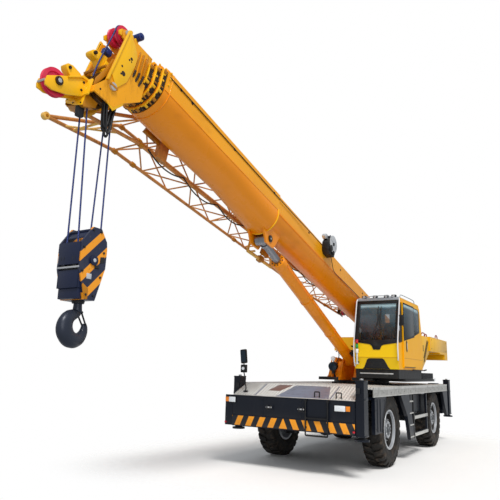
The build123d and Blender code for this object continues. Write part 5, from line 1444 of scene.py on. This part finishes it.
def build_cab(sizes):
    """Window surrounds, rails, chin panel, light tower, wipers, mirror, handles and the inside of the cab."""
    s, front, chin = Shape(), cab_front(), cab_chin()
    for bar, thick in (((0.338, 0.42, 2.3, 3.15), 0.007), ((1.185, 1.247, 2.3, 3.15), 0.007),
            ((0.338, 1.247, 3.095, 3.16), 0.009), ((0.338, 1.247, 2.3, 2.335), 0.008)):
        s.plate(oblong(*bar), thick, front, 0.002)
    lower = lambda u, v, depth: at(u, 0.625 - (2.3 - v) * 0.047 - depth, v)
    s.plate(mm(338, 2302, 1247, 2302, 1247, 2272, 965, 2235, 915, 2215, 880, 2135, 740, 2135, 705, 2215,
        660, 2245, 338, 2290), 0.009, lower)
    s.plate(mm(500, 1752, 1070, 1752, 1035, 1790, 965, 1935, 925, 1962, 645, 1962, 605, 1935, 535, 1790),
            0.008, chin, 0.004)
    for z in (1.8, 1.84, 1.88, 1.92):
        s.use(3).plate(((0.6, z), (0.97, z), (0.965, z + 0.012), (0.605, z + 0.012)), 0.006,
            cab_chin(0.007), 0.001)
    s.use(0)
    s.plate(mm(700, 2275, 945, 2315, 945, 3120, 885, 3120, 660, 2330), 0.004, station_side(1.25), 0.0015)
    s.plate(mm(1862, 2470, 2360, 2575, 2430, 2640, 2395, 3075, 2340, 3117, 1862, 3117), 0.0015,
        station_side(1.25), 0.0005)
    s.use(4).plate(mm(1905, 2545, 2340, 2615, 2380, 2660, 2350, 3060, 2310, 3095, 1905, 3095), 0.0008,
        station_side(1.2516), 0.0003)
    s.use(0).plate(oblong(2.4005, 2.425, 2.58, 3.08), 0.0008, station_side(1.2516), 0.0003)
    # Painted shade: thin darker strips at the panel crease round the cab front and side.
    s.use(5)
    s.plate(oblong(0.345, 1.245, 1.985, 1.978), 0.003, lambda u, v, d: at(u, 0.6095 - d, v), 0.001)
    s.plate(oblong(1.875, 2.64, 1.978, 1.985), 0.0015, station_side(1.25), 0.0005)
    s.use(1).pin(0.44, 1.12, 0.69, 1.66, 0.012, 12, 0.003)
    s.rod(0.44, 0.705, 0.685, 1.66, 0.012)
    s.use(0).box((0.34, 0.688, 1.566), (1.232, 0.704, 1.748), 0.006)
    s.use(2).box((0.35, 0.875, 3.216), (1.235, 2.42, 3.24), 0.012)
    s.box((0.345, 0.815, 3.165), (1.24, 0.885, 3.222), 0.014)
    s.use(3).box((0.6, 1.3, 3.238), (1.05, 1.9, 3.268), 0.012)
    for x in (0.48, 0.72, 0.96, 1.12):
        s.use(3).box((x - 0.05, 0.86, 3.222), (x + 0.05, 0.93, 3.285), 0.012)
        s.use(1).rod(x, 0.857, 0.848, 3.252, 0.026, 20, 0.002)
    s.piece("cab_surrounds", "upper", "cab_paint",
        "black_trim rim_bright roof_grey axle_metal glass_side crease")

    s = Shape()
    s.plate(mm(958, 2330, 1842, 2455, 1842, 3125, 958, 3125), 0.0022, station_side(1.28), 0.0008)
    s.use(1).plate(mm(1000, 2372, 1800, 2490, 1800, 3090, 1000, 3090), 0.003, station_side(1.2817), 0.001)
    s.use(0).plate(mm(1120, 2150, 1145, 2115, 1185, 2105, 1215, 2150, 1215, 2310, 1185, 2355, 1145, 2345,
        1120, 2310), 0.004, station_side(1.28), 0.0015)
    s.use(2).post(1.283, 1.195, 2.16, 2.3, 0.008, 10, 0.002)
    # Painted shade: the same darker strip along the crease on the door.
    s.use(3).plate(oblong(0.955, 1.845, 1.978, 1.985), 0.002, station_side(1.28), 0.0008)
    s.use(0).box((1.268, 0.955, 1.795), (1.2815, 1.845, 1.812), 0.002)
    s.piece("door_fittings", "cab_door", "cab_paint", "black_trim glass_side bright_metal crease")

    lines = [path(at, (0.352, 0.835, 3.205), (0.345, 0.79, 3.175), (0.345, 0.77, 3.1), (0.345, 0.585, 2.38),
        (0.345, 0.555, 2.2), (0.345, 0.57, 1.84), (0.35, 0.625, 1.8)),
        path(at, (1.24, 0.835, 3.205), (1.258, 0.79, 3.175), (1.258, 0.77, 3.1), (1.258, 0.585, 2.38),
        (1.258, 0.555, 2.2), (1.258, 0.575, 1.96), (1.245, 0.615, 1.93))]
    hose("cab_grab_bars", lines, 0.0125, "upper", "rim_paint", "white_bar", sides=16)
    hose("cab_roof_rails", [*(path(at, (x, 1.05, 3.23), (x, 1.05, 3.3), (x, 1.2, 3.315), (x, 2.1, 3.315),
        (x, 2.25, 3.3), (x, 2.25, 3.23)) for x in (0.4, 1.2)), path(at, (0.42, 0.84, 3.2),
        (0.5, 0.8, 3.25), (0.8, 0.79, 3.265), (1.1, 0.8, 3.25), (1.18, 0.84, 3.2)),
        path(at, (1.262, 0.7, 2.52), (1.262, 0.69, 2.8), (1.262, 0.78, 3.05))], 0.009, "upper",
        "rim_paint", "roof_grey")
    s = Shape()
    for x, lean in ((0.7, 18), (0.95, -14)):
        sweep = math.sin(math.radians(lean)) * 0.56
        foot = front(x, 2.36, 0.012)
        tip = front(x + sweep, 2.36 + math.cos(math.radians(lean)) * 0.56, 0.018)
        s.use(0).bar(foot, tip, 0.006, 8)
        s.bar(foot - Vector((0, -0.01, 0)), foot + Vector((0, -0.02, 0)), 0.018, 16, 0.003)
        s.bar(front(x + sweep, 2.62, 0.014), front(x + sweep, 3.04, 0.014), 0.007, 8)
    s.bar(at(1.245, 0.83, 2.72), at(1.345, 0.72, 2.72), 0.009, 10)
    s.post(1.345, 0.72, 2.6, 2.86, 0.008, 10)
    s.box((1.25, 0.69, 2.62), (1.35, 0.712, 2.84), 0.012)
    s.use(1).box((1.258, 0.711, 2.63), (1.342, 0.716, 2.83), 0.008)
    s.piece("wipers_and_mirror", "upper", "black_trim", "black_trim glass_dark")

    s = Shape()
    x, y = 0.412, AXLE + 0.56
    for index, low, high, r in ((0, 2.262, 2.335, 0.03), (3, 2.242, 2.262, 0.024), (1, 2.168, 2.242, 0.03),
            (3, 2.148, 2.168, 0.024), (2, 2.06, 2.148, 0.03), (4, 1.86, 2.06, 0.02),
            (4, 1.835, 1.865, 0.034), (3, 2.335, 2.352, 0.024)):
        s.use(index).bar((x, y, low), (x, y, high), r, 24, 0.004)
    s.use(3).block((x - 0.02, y, 1.86), (x + 0.02, y + 0.075, 1.9))
    s.block((x - 0.02, y, 2.09), (x + 0.02, y + 0.055, 2.12))
    s.piece("load_light_tower", "upper", "black_trim",
        "lamp_red lamp_green lamp_white black_trim rim_bright")

    s = Shape()
    s.box((1.02, 0.86, 2.7), (1.18, 0.9, 2.88), 0.012)
    s.use(1).box((0.4, 0.95, 3.155), (1.19, 2.35, 3.178))
    s.use(2).box((0.48, 0.75, 1.79), (1.12, 0.98, 2.28), 0.05)
    s.box((0.46, 1.55, 1.79), (0.55, 2.05, 2.36), 0.02)
    s.box((1.07, 1.55, 1.79), (1.15, 2.05, 2.36), 0.02)
    s.use(3).bar(at(0.8, 0.98, 2.18), at(0.8, 1.12, 2.44), 0.02, 14)
    s.post(0.505, 1.62, 2.36, 2.52, 0.012, 12, 0.004)
    s.post(1.11, 1.62, 2.36, 2.52, 0.012, 12, 0.004)
    s.use(2).box((0.42, 0.78, 2.3), (0.6, 0.84, 2.5), 0.012)
    s.use(4).box((0.435, 0.838, 2.325), (0.585, 0.843, 2.475), 0.003)
    s.piece("cab_inside", "upper", "seat_fabric", "blind headliner black_trim axle_metal glass_dark")
    ring = [at(0.8, 1.12, 2.44) + Vector((0.19 * math.cos(t), 0.06 * math.sin(t), 0.17 * math.sin(t)))
        for t in (k * math.tau / 16 for k in range(17))]
    hose("steering_wheel", ring, 0.013, "upper", "black_trim")


def build_turntable(sizes):
    """Platform skirt, ring bolts, winch guards, work lamp, hoses and the covers by the counterweight."""
    s = Shape()
    for low, high in ((-0.606, -0.15), (0.15, 0.606)):
        s.box((low, 0.948, 1.502), (high, 0.962, 1.563))
    for side in (-1, 1):
        s.box((side * 0.598, 0.95, 1.502), (side * 0.612, 3.604, 1.563))
    s.box((0.61, 1.18, 1.505), (1.235, 3.9, 1.562), 0.01)
    s.box((0.96, 2.62, 1.562), (1.24, 3.72, 1.7), 0.012)
    for k in range(22):
        s.use(1).box((1.2385, 2.66 + k * 0.048, 1.58), (1.2445, 2.684 + k * 0.048, 1.684), 0.002)
    s.use(2).box((1.236, 3.8, 1.52), (1.252, 3.9, 1.585), 0.006)
    s.use(0).box((1.2, 1.7, 1.742), (1.275, 2.7, 1.764), 0.006)
    s.bar(at(1.262, 2.7, 1.755), at(1.262, 2.92, 1.77), 0.016, 12, 0.003)
    for k in range(36):
        t = math.tau * k / 36
        s.use(3).post(0.655 * math.cos(t), 2.0 + 0.655 * math.sin(t), 1.428, 1.452, 0.016, *BOLT)
    s.piece("platform_skirt", "upper", "black_trim", "black_trim axle_metal lamp_white axle_metal")

    s = Shape()
    for side in (-1, 1):
        s.use(0).plate(mm(1000, 1562, 1060, 1562, 1340, 1990, 1260, 1990), 0.022,
            station_side(side * 0.322, side))
        s.use(1).pin(side * 0.324, side * 0.352, 3.4, 2.7, 0.085, 36, 0.008)
        s.use(2).pin(side * 0.35, side * 0.36, 3.4, 2.7, 0.04, 6, 0.004)
        s.use(1).pin(side * 0.166, side * 0.186, 1.4, 1.9, 0.06, 32, 0.006)
        s.use(0).plate(mm(1060, 1562, 1120, 1562, 1320, 1860, 1280, 1900), 0.1,
            station_side(side * 0.166, side))
        for y in (2.6, 2.95, 3.3):
            s.use(0).plate(((y, 1.562), (y + 0.02, 1.562), (y + 0.02, 1.72), (y, 1.8)), 0.14,
                station_side(side * 0.322, side))
        for y, z in (AUXILIARY_DRUM, MAIN_DRUM):
            s.use(3).pin(side * 0.322, side * 0.43, y, z, 0.105 if y > 4.5 else 0.09, 32, 0.01)
            s.ring_of(8, at(0, y, z), (1, 0, 0), lambda t: t.pin(side * 0.428, side * 0.44, y, z + 0.075,
                0.01, *BOLT))
    s.use(0).box((-0.3, 1.11, 1.57), (-0.17, 1.14, 1.66))
    for side in (-1, 1):
        for station in (1.02, 1.46):
            s.plate(mm(322, 1562, 430, 1562, 400, 1650, 345, 1920, 322, 1960), 0.016,
                    lambda u, v, d: at(side * u, station + d, v))
        s.plate(oblong(1.02, 1.48, 1.565, 1.585), 0.115, station_side(side * 0.322, side))
    s.piece("turntable_plates", "upper", "boom_paint", "boom_paint greased bright_metal axle_metal")

    s = Shape()
    lamp = at(-0.255, 0.92, 1.79)
    s.bar(lamp + Vector((0, 0.1, 0.01)), lamp + Vector((0, -0.05, -0.01)), 0.085, 36, 0.012, top=0.1)
    s.use(1).bar(lamp + Vector((0, -0.045, -0.01)), lamp + Vector((0, -0.06, -0.012)), 0.088, 36, 0.004)
    s.use(0).block(lamp + Vector((-0.03, -0.02, -0.16)), lamp + Vector((0.03, 0.08, -0.07)), 0.008)
    s.bar(lamp + Vector((0.0, 0.03, -0.1)), at(-0.255, 1.02, 1.565), 0.018)
    s.use(2).rod(-0.255, 0.93, 0.88, 1.955, 0.048, 28, 0.006)
    s.use(0).rod(-0.255, 0.96, 0.93, 1.955, 0.04, 24, 0.004)
    s.post(-0.255, 0.95, 1.88, 1.93, 0.012)
    s.piece("boom_lamp", "upper", "black_trim", "black_trim glass_dark lamp_white")
    hose("lamp_hook", path(at, (-0.2, 0.98, 1.88), (-0.15, 1.0, 1.98), (-0.155, 1.0, 2.08),
        (-0.19, 1.0, 2.13), (-0.22, 1.0, 2.1)), 0.009, "upper", "black_trim")

    lines = []
    for k in range(3):
        x = 0.175 + k * 0.034
        lines.append(path(at, (x, 1.7, 1.57), (x + 0.005, 1.55, 1.86), (x + 0.01, 1.42, 2.03),
            (x + 0.005, 1.12, 2.2), (0.16, 0.98 - k * 0.03, 2.22)))
    lines.append(path(at, (-0.2, 1.75, 1.57), (-0.21, 1.62, 1.9), (-0.2, 1.44, 2.06), (-0.17, 1.12, 2.12),
        (-0.155, 1.0, 2.16)))
    lines.append(path(at, (0.25, 2.45, 1.58), (0.27, 2.9, 1.95), (0.26, 3.25, 2.35), (0.24, 3.34, 2.6)))
    lines.append(path(at, (0.21, 2.45, 1.58), (0.23, 2.95, 1.92), (0.22, 3.3, 2.32), (0.2, 3.4, 2.58)))
    lines.append(path(at, (-0.25, 4.33, 2.05), (-0.4, 4.2, 1.95), (-0.5, 3.8, 1.75), (-0.52, 3.4, 1.58)))
    lines.append(path(at, (0.45, 4.85, 2.2), (0.5, 4.5, 1.98), (0.52, 3.9, 1.8), (0.5, 3.4, 1.58)))
    hose("upper_hoses", lines, sizes.hose_radius, "upper", "black_trim")

    s = Shape()
    s.plate(mm(2735, 1800, 2800, 1800, 3460, 2150, 3485, 2210, 3485, 2545, 3440, 2565, 2700, 2565), 0.42,
        station_side(0.8), 0.02)
    s.use(1).bar(at(1.224, 2.9, 1.95), at(1.224, 3.38, 2.45), 0.01, 10)
    s.bar(at(1.224, 2.9, 2.05), at(1.224, 3.3, 2.47), 0.01, 10)
    s.use(2).plate(oblong(2.86, 2.9, 2.2, 2.34), 0.004, station_side(1.22), 0.001)
    for side in (-1, 1):
        s.use(0).plate(oblong(3.56, 5.5, 2.26, 2.55), 0.003, station_side(side * 1.25, side), 0.0015)
        for y in (3.64, 5.42):
            for z in (2.3, 2.51):
                s.use(2).pin(side * 1.252, side * 1.259, y, z, 0.012, 6, 0.001)
    for x in (-1.05, -0.35, 0.35, 1.05):
        s.use(3).rod(x, 5.54, 5.5504, 2.32, 0.04, 28)
    for x in (-0.95, 0.95):
        s.use(2).post(x, 5.1, 2.578, 2.6, 0.05, 20, 0.004)
        s.post(x, 5.1, 2.6, 2.66, 0.018)
    s.piece("tail_covers", "upper", "counterweight_paint",
        "counterweight_paint axle_metal black_trim lamp_red")
    hose("tail_hoses", [path(at, (1.05, 3.75, 2.58), (1.05, 3.8, 2.66), (1.03, 4.05, 2.68),
        (1.0, 4.3, 2.66), (0.95, 4.42, 2.58)), path(at, (0.98, 3.7, 2.58), (0.98, 3.76, 2.7),
        (0.96, 4.15, 2.72), (0.9, 4.55, 2.68), (0.86, 4.66, 2.58)), path(at, (1.12, 4.7, 2.58),
        (1.12, 4.72, 2.68), (1.1, 4.95, 2.71), (1.08, 5.15, 2.68), (1.08, 5.18, 2.58))], 0.014, "upper",
        "black_trim", "hose_red")


EYE = boom_at(0, 6.3, -0.41)
FOOT = at(0, 1.4, 1.9)
DOWN = (FOOT - EYE).normalized()


def build_cylinder(sizes):
    """Gland and pipe of the luffing cylinder, its pins, and the boots on the hinge eye."""
    reach = (FOOT - EYE).length
    s = Shape()
    s.turned(mm(615, 69, 615, 100, 628, 124, 690, 128, 760, 128, 800, 119, 800, 110, 700, 69, 615, 69), EYE,
        DOWN, 48)
    for band in (1.9, 3.2):
        s.use(0).turned([(band, 0.116), (band, 0.127), (band + 0.05, 0.127), (band + 0.05, 0.116),
            (band, 0.116)], EYE, DOWN, 48)
    s.use(1).ring_of(10, EYE, DOWN, lambda t: t.bar(EYE + DOWN * 0.602 + LEFT * 0.098,
        EYE + DOWN * 0.62 + LEFT * 0.098, 0.011, *BOLT))
    over = DOWN.cross(LEFT).normalized()
    s.use(2).set_block(EYE + DOWN * (reach - 0.42) + LEFT * 0.14, (-0.05, -0.04, -0.09), (0.05, 0.04, 0.09),
        0.01, over, DOWN)
    s.piece("cylinder_gland", "luff_barrel", "boom_paint", "boom_paint axle_metal axle_metal", 40)
    hose("cylinder_pipe", [[EYE + DOWN * 0.74 + LEFT * 0.12, EYE + DOWN * 0.8 + LEFT * 0.15,
        EYE + DOWN * 1.0 + LEFT * 0.142] + [EYE + DOWN * d + LEFT * 0.142
        for d in (1.6, 2.4, 3.2, reach - 0.7, reach - 0.5)], [EYE + DOWN * 0.76 - LEFT * 0.12,
        EYE + DOWN * 0.82 - LEFT * 0.15] + [EYE + DOWN * d - LEFT * 0.14
        for d in (1.1, 2.0, 3.0, reach - 0.6)]], 0.011, "luff_barrel", "boom_paint")
    s = Shape()
    s.turned(mm(100, 66, 100, 82, 150, 82, 160, 68, 100, 66), EYE, DOWN, 40)
    for side in (-1, 1):
        s.use(1).bar(EYE + LEFT * side * 0.15, EYE + LEFT * side * 0.172, 0.058, 32, 0.005)
        s.use(2).bar(EYE + LEFT * side * 0.17, EYE + LEFT * side * 0.178, 0.018, *BOLT)
    s.piece("rod_end", "luff_rod", "rod_chrome", "rod_chrome greased bright_metal", 40)


def jib_at(along, edge, outside):
    """A point on the jib's chords: edge 1 is the upper one, outside 1 the far one."""
    low = -0.31 + 0.47 * (9.05 - along) / 8.05
    taper = max(0, (2.6 - along) / 1.6)
    deep, wide = 0.4 - 0.22 * taper, 0.46 - 0.26 * taper
    return boom_at(-0.605 + wide * (0.5 - outside), along, low + deep * edge)


def build_jib(sizes):
    """Clamps, fork eyes, end frame, tip sheave, light struts and the hose along the stowed jib."""
    s = Shape()
    for along in (9.02, 8.65, 5.9, 2.6, 1.8):
        for edge in (0, 1):
            for outside in (0, 1):
                p = jib_at(along, edge, outside)
                s.use(0).bar(p - ALONG * 0.035, p + ALONG * 0.035, 0.036, 20, 0.004)
    for x in (-0.375, -0.835):
        tip = boom_at(x, 10.13, -0.555)
        s.use(1).bar(tip - LEFT * 0.03, tip + LEFT * 0.03, 0.046, 28, 0.005)
        s.use(0).bar(tip - LEFT * 0.036, tip + LEFT * 0.036, 0.02, 20, 0.003)
    s.use(1).boom_pin(-0.375, -0.835, 9.72, -0.47, 0.016, 14)
    s.bar(boom_at(-0.375, 9.72, -0.47), jib_at(9.05, 1, 0), 0.012)
    s.bar(boom_at(-0.835, 9.72, -0.47), jib_at(9.05, 1, 1), 0.012)
    s.bar(boom_at(-0.835, 9.86, -0.5), boom_at(-0.375, 9.45, -0.42), 0.012)
    tip = (jib_at(1.0, 0, 0) + jib_at(1.0, 1, 1)) / 2
    s.use(2)
    for side in (-1, 1):
        s.plate(mm(860, -30, 1200, -30, 1220, 200, 1020, 230, 900, 170), 0.012, lambda u, v,
            d: boom_at(-0.605 + side * 0.075 + d, u, 0.15 + v))
    grooved(s.use(3), boom_at(-0.605, 0.985, 0.235), 0.11, half=0.02, groove=0.098)
    s.use(4).boom_pin(-0.69, -0.52, 0.985, 0.235, 0.022, 20, 0.003)
    s.use(0)
    for along, up, wide in ((8.9, -0.075, 0.16), (5.6, -0.3, 0.12)):
        s.plate(((along - wide, up - 0.05), (along + wide, up - 0.05), (along + wide * 0.6, up + 0.1),
            (along - wide * 0.6, up + 0.1)), 0.055, lambda u, v, d: boom_at(-0.372 + d, u, v), 0.006)
    s.use(1).bar(boom_at(-0.4, 6.06, -0.46), boom_at(-0.4, 5.2, -0.4), 0.03, 16, 0.004)
    s.bar(boom_at(-0.4, 6.06, -0.46), boom_at(-0.4, 6.02, -0.22), 0.022, 16, 0.004)
    s.bar(boom_at(-0.4, 5.24, -0.4), boom_at(-0.4, 5.24, -0.2), 0.022, 16, 0.004)
    s.boom_pin(-0.45, -0.3, 5.98, -0.44, 0.018, 14, 0.003)
    s.use(0).set_block(boom_at(-0.4, 5.62, -0.42), (-0.05, -0.06, -0.05), (0.05, 0.06, 0.05), 0.01)
    s.piece("jib_fittings", "boom_base", "jib_paint",
        "collar_paint jib_strut greased sheave_nylon bright_metal")

    lines = []
    for start, end, sag in ((8.9, 8.1, 0.1), (8.1, 7.2, 0.12), (7.2, 6.4, 0.1), (4.9, 4.1, 0.08),
            (4.1, 3.2, 0.1)):
        a, b = jib_at(start, 0, 0) + LEFT * 0.03, jib_at(end, 0, 0) + LEFT * 0.03
        lines.append([a, a * 0.8 + b * 0.2 - ABOVE * sag * 0.7, (a + b) / 2 - ABOVE * sag,
            a * 0.2 + b * 0.8 - ABOVE * sag * 0.7, b])
    hose("jib_hose", lines, 0.01, "boom_base", "black_trim", sides=10)


def build_engine(sizes):
    """Rocker covers, fan shroud, pipes and the REAR lights round the engine and tail of the carrier."""
    s = Shape()
    y = AXLE + WHEELBASE
    for k in range(3):
        s.use(0).block((-0.18, y + 0.4 + k * 0.22, 1.328), (0.18, y + 0.58 + k * 0.22, 1.375), 0.012)
    s.use(1).block((-0.3, y + 1.06, 0.86), (0.3, y + 1.115, 1.36), 0.02)
    s.use(0).bar((0.33, y + 0.45, 1.12), (0.33, y + 0.95, 1.12), 0.045, 20, 0.01)
    s.bar((-0.325, y + 0.5, 1.02), (-0.325, y + 0.8, 1.02), 0.06, 20, 0.01)
    s.piece("engine_covers", "carrier", "engine_metal", "engine_metal black_trim")
    s = Shape()
    place = lambda u, v, d: Vector((u, REAR + d, v))
    s.plate(oblong(-1.15, 1.15, 0.7, 0.85), 0.005, place, 0.002)
    for x in (-1.0, 1.0):
        s.use(1).block((x - 0.14, REAR, 1.03), (x + 0.14, REAR + 0.02, 1.15), 0.006)
        s.use(2).block((x - 0.13, REAR + 0.018, 1.04), (x - 0.04, REAR + 0.03, 1.14), 0.006)
        s.use(3).block((x - 0.035, REAR + 0.018, 1.04), (x + 0.045, REAR + 0.03, 1.14), 0.006)
        s.use(4).block((x + 0.05, REAR + 0.018, 1.04), (x + 0.13, REAR + 0.03, 1.14), 0.006)
    for x in (-0.3, 0.3):
        for side in (-1, 1):
            s.use(5).plate(((REAR, 0.98), (REAR + 0.05, 0.99), (REAR + 0.07, 1.03), (REAR + 0.05, 1.07),
                (REAR, 1.08)), 0.014, facing_side(x + side * 0.03 - 0.007), 0.002)
        s.use(5).bar((x - 0.05, REAR + 0.045, 1.03), (x + 0.05, REAR + 0.045, 1.03), 0.012, 14, 0.002)
    s.use(6).plate(oblong(-0.26, 0.26, 1.24, 1.35), 0.004, place, 0.001)
    for k in range(12):
        s.use(1).block((-0.8, REAR - 0.001, 1.225 + k * 0.013), (-0.4, REAR + 0.006, 1.231 + k * 0.013),
            0.001)
        s.block((0.4, REAR - 0.001, 1.225 + k * 0.013), (0.8, REAR + 0.006, 1.231 + k * 0.013), 0.001)
    s.piece("rear_lights", "carrier", "carrier_paint",
        "hazard black_trim lamp_red lamp_orange lamp_white axle_metal deck_edge")
    for end, base in (("front", AXLE), ("rear", AXLE + WHEELBASE)):
        s, hub = Shape(), Vector((0, base, HUB_HEIGHT))
        s.turned(mm(-205, 0, -205, 100, -190, 155, -150, 175, 150, 175, 190, 155, 215, 85, 260, 60, 260, 0),
            hub, (0, 1, 0), 40)
        for side in (-1, 1):
            s.use(0).bar(hub + LEFT * side * 0.16, hub + LEFT * side * 0.5, 0.135, 32, 0.01, top=0.098)
            s.use(1).bar((side * 0.42, base - 0.2, 0.7), (side * 0.86, base - 0.215, 0.7), 0.024, 16, 0.003)
            s.bar((side * 0.5, base + 0.16, 0.8), (side * 0.46, base + 0.55, 0.96), 0.02, 14, 0.003)
            s.use(2).bar((side * 0.2, base - 0.2, 0.7), (side * 0.44, base - 0.2, 0.7), 0.036, 18, 0.004)
        s.ring_of(12, hub, (0, 1, 0), lambda t: t.use(1).bar(hub + Vector((0, 0.185, 0.168)),
            hub + Vector((0, 0.205, 0.168)), 0.011, *BOLT))
        s.piece(f"axle_housing_{end}", "carrier", "axle_metal", "axle_metal engine_metal black_trim", 40)
    hose("drive_shafts", [[(0.0, AXLE + 0.25, 0.66), (0.0, AXLE + 1.6, 0.82)],
        [(0.0, AXLE + WHEELBASE - 0.25, 0.66), (0.0, AXLE + 2.3, 0.82)]], 0.04, "carrier", "axle_metal",
        sides=16)


class CRANE_OT_stage(bpy.types.Operator):
    """Sets the camera, the floor and the lights"""
    bl_idname = "crane.stage"
    bl_label = "Stage"

    def execute(self, context):
        build_stage()
        return {"FINISHED"}


class CRANE_OT_finishes(bpy.types.Operator):
    """Makes the finishes and puts them on the frame"""
    bl_idname = "crane.finishes"
    bl_label = "Finishes"

    def execute(self, context):
        make_finishes(context.scene.crane_colours)
        dress_frame()
        return {"FINISHED"}


class CRANE_OT_wheels(bpy.types.Operator):
    """Builds the lugged tyres and the hubs with their nuts"""
    bl_idname = "crane.wheels"
    bl_label = "Wheels"

    def execute(self, context):
        for end, hand in WHEELS:
            build_tyre(end, hand, context.scene.crane_sizes)
            build_hub(end, hand, context.scene.crane_sizes)
        return {"FINISHED"}


class Step:
    """Runs an operator's builders with the crane's sizes."""

    def execute(self, context):
        for build in self.builders:
            build(context.scene.crane_sizes)
        return {"FINISHED"}


class CRANE_OT_carrier(Step, bpy.types.Operator):
    """Builds the front panels, the deck trim, the side fittings, the jack caps and the corner mirror"""
    bl_idname = "crane.carrier"
    bl_label = "Carrier"
    builders = (build_front, build_deck, build_sides, build_jacks, build_mirror)


class CRANE_OT_boom(Step, bpy.types.Operator):
    """Builds the boom's seams and collars, its head, the reel and the ropes"""
    bl_idname = "crane.boom"
    bl_label = "Boom"
    builders = (build_boom_skin, build_head, build_reel, build_ropes)


class CRANE_OT_hook_block(Step, bpy.types.Operator):
    """Builds the hook block's covers and the forged hook"""
    bl_idname = "crane.hook_block"
    bl_label = "Hook block"
    builders = (build_falls, build_block)


class CRANE_OT_cab(Step, bpy.types.Operator):
    """Builds the cab's surrounds, rails, lamps and inside"""
    bl_idname = "crane.cab"
    bl_label = "Cab"
    builders = (build_cab,)


class CRANE_OT_upper(Step, bpy.types.Operator):
    """Builds the platform, the luffing cylinder's fittings, the jib's fittings and the machinery"""
    bl_idname = "crane.upper"
    bl_label = "Upper structure"
    builders = (build_turntable, build_cylinder, build_jib, build_engine)


OPERATORS = (CRANE_OT_stage, CRANE_OT_finishes, CRANE_OT_wheels, CRANE_OT_carrier, CRANE_OT_boom,
    CRANE_OT_hook_block, CRANE_OT_cab, CRANE_OT_upper)


class CRANE_PT_pieces(bpy.types.Panel):
    """Lists the steps that build the crane's looks"""
    bl_idname = "CRANE_PT_pieces"
    bl_label = "Crane pieces"
    bl_space_type = "VIEW_3D"
    bl_region_type = "UI"
    bl_category = "Crane"

    def draw(self, context):
        for group in (context.scene.crane_sizes, context.scene.crane_colours):
            for name in group.bl_rna.properties.keys():
                if name not in ("rna_type", "name"):
                    self.layout.prop(group, name)
        for operator in OPERATORS:
            self.layout.operator(operator.bl_idname)


CLASSES = (CraneColours, CraneSizes, *OPERATORS, CRANE_PT_pieces)


def register():
    for cls in CLASSES:
        bpy.utils.register_class(cls)
    bpy.types.Scene.crane_colours = PointerProperty(type=CraneColours)
    bpy.types.Scene.crane_sizes = PointerProperty(type=CraneSizes)


def unregister():
    del bpy.types.Scene.crane_sizes
    del bpy.types.Scene.crane_colours
    for cls in reversed(CLASSES):
        bpy.utils.unregister_class(cls)


def main():
    register()
    for operator in OPERATORS:
        family, step = operator.bl_idname.split(".")
        getattr(getattr(bpy.ops, family), step)()


if __name__ == "__main__":
    main()
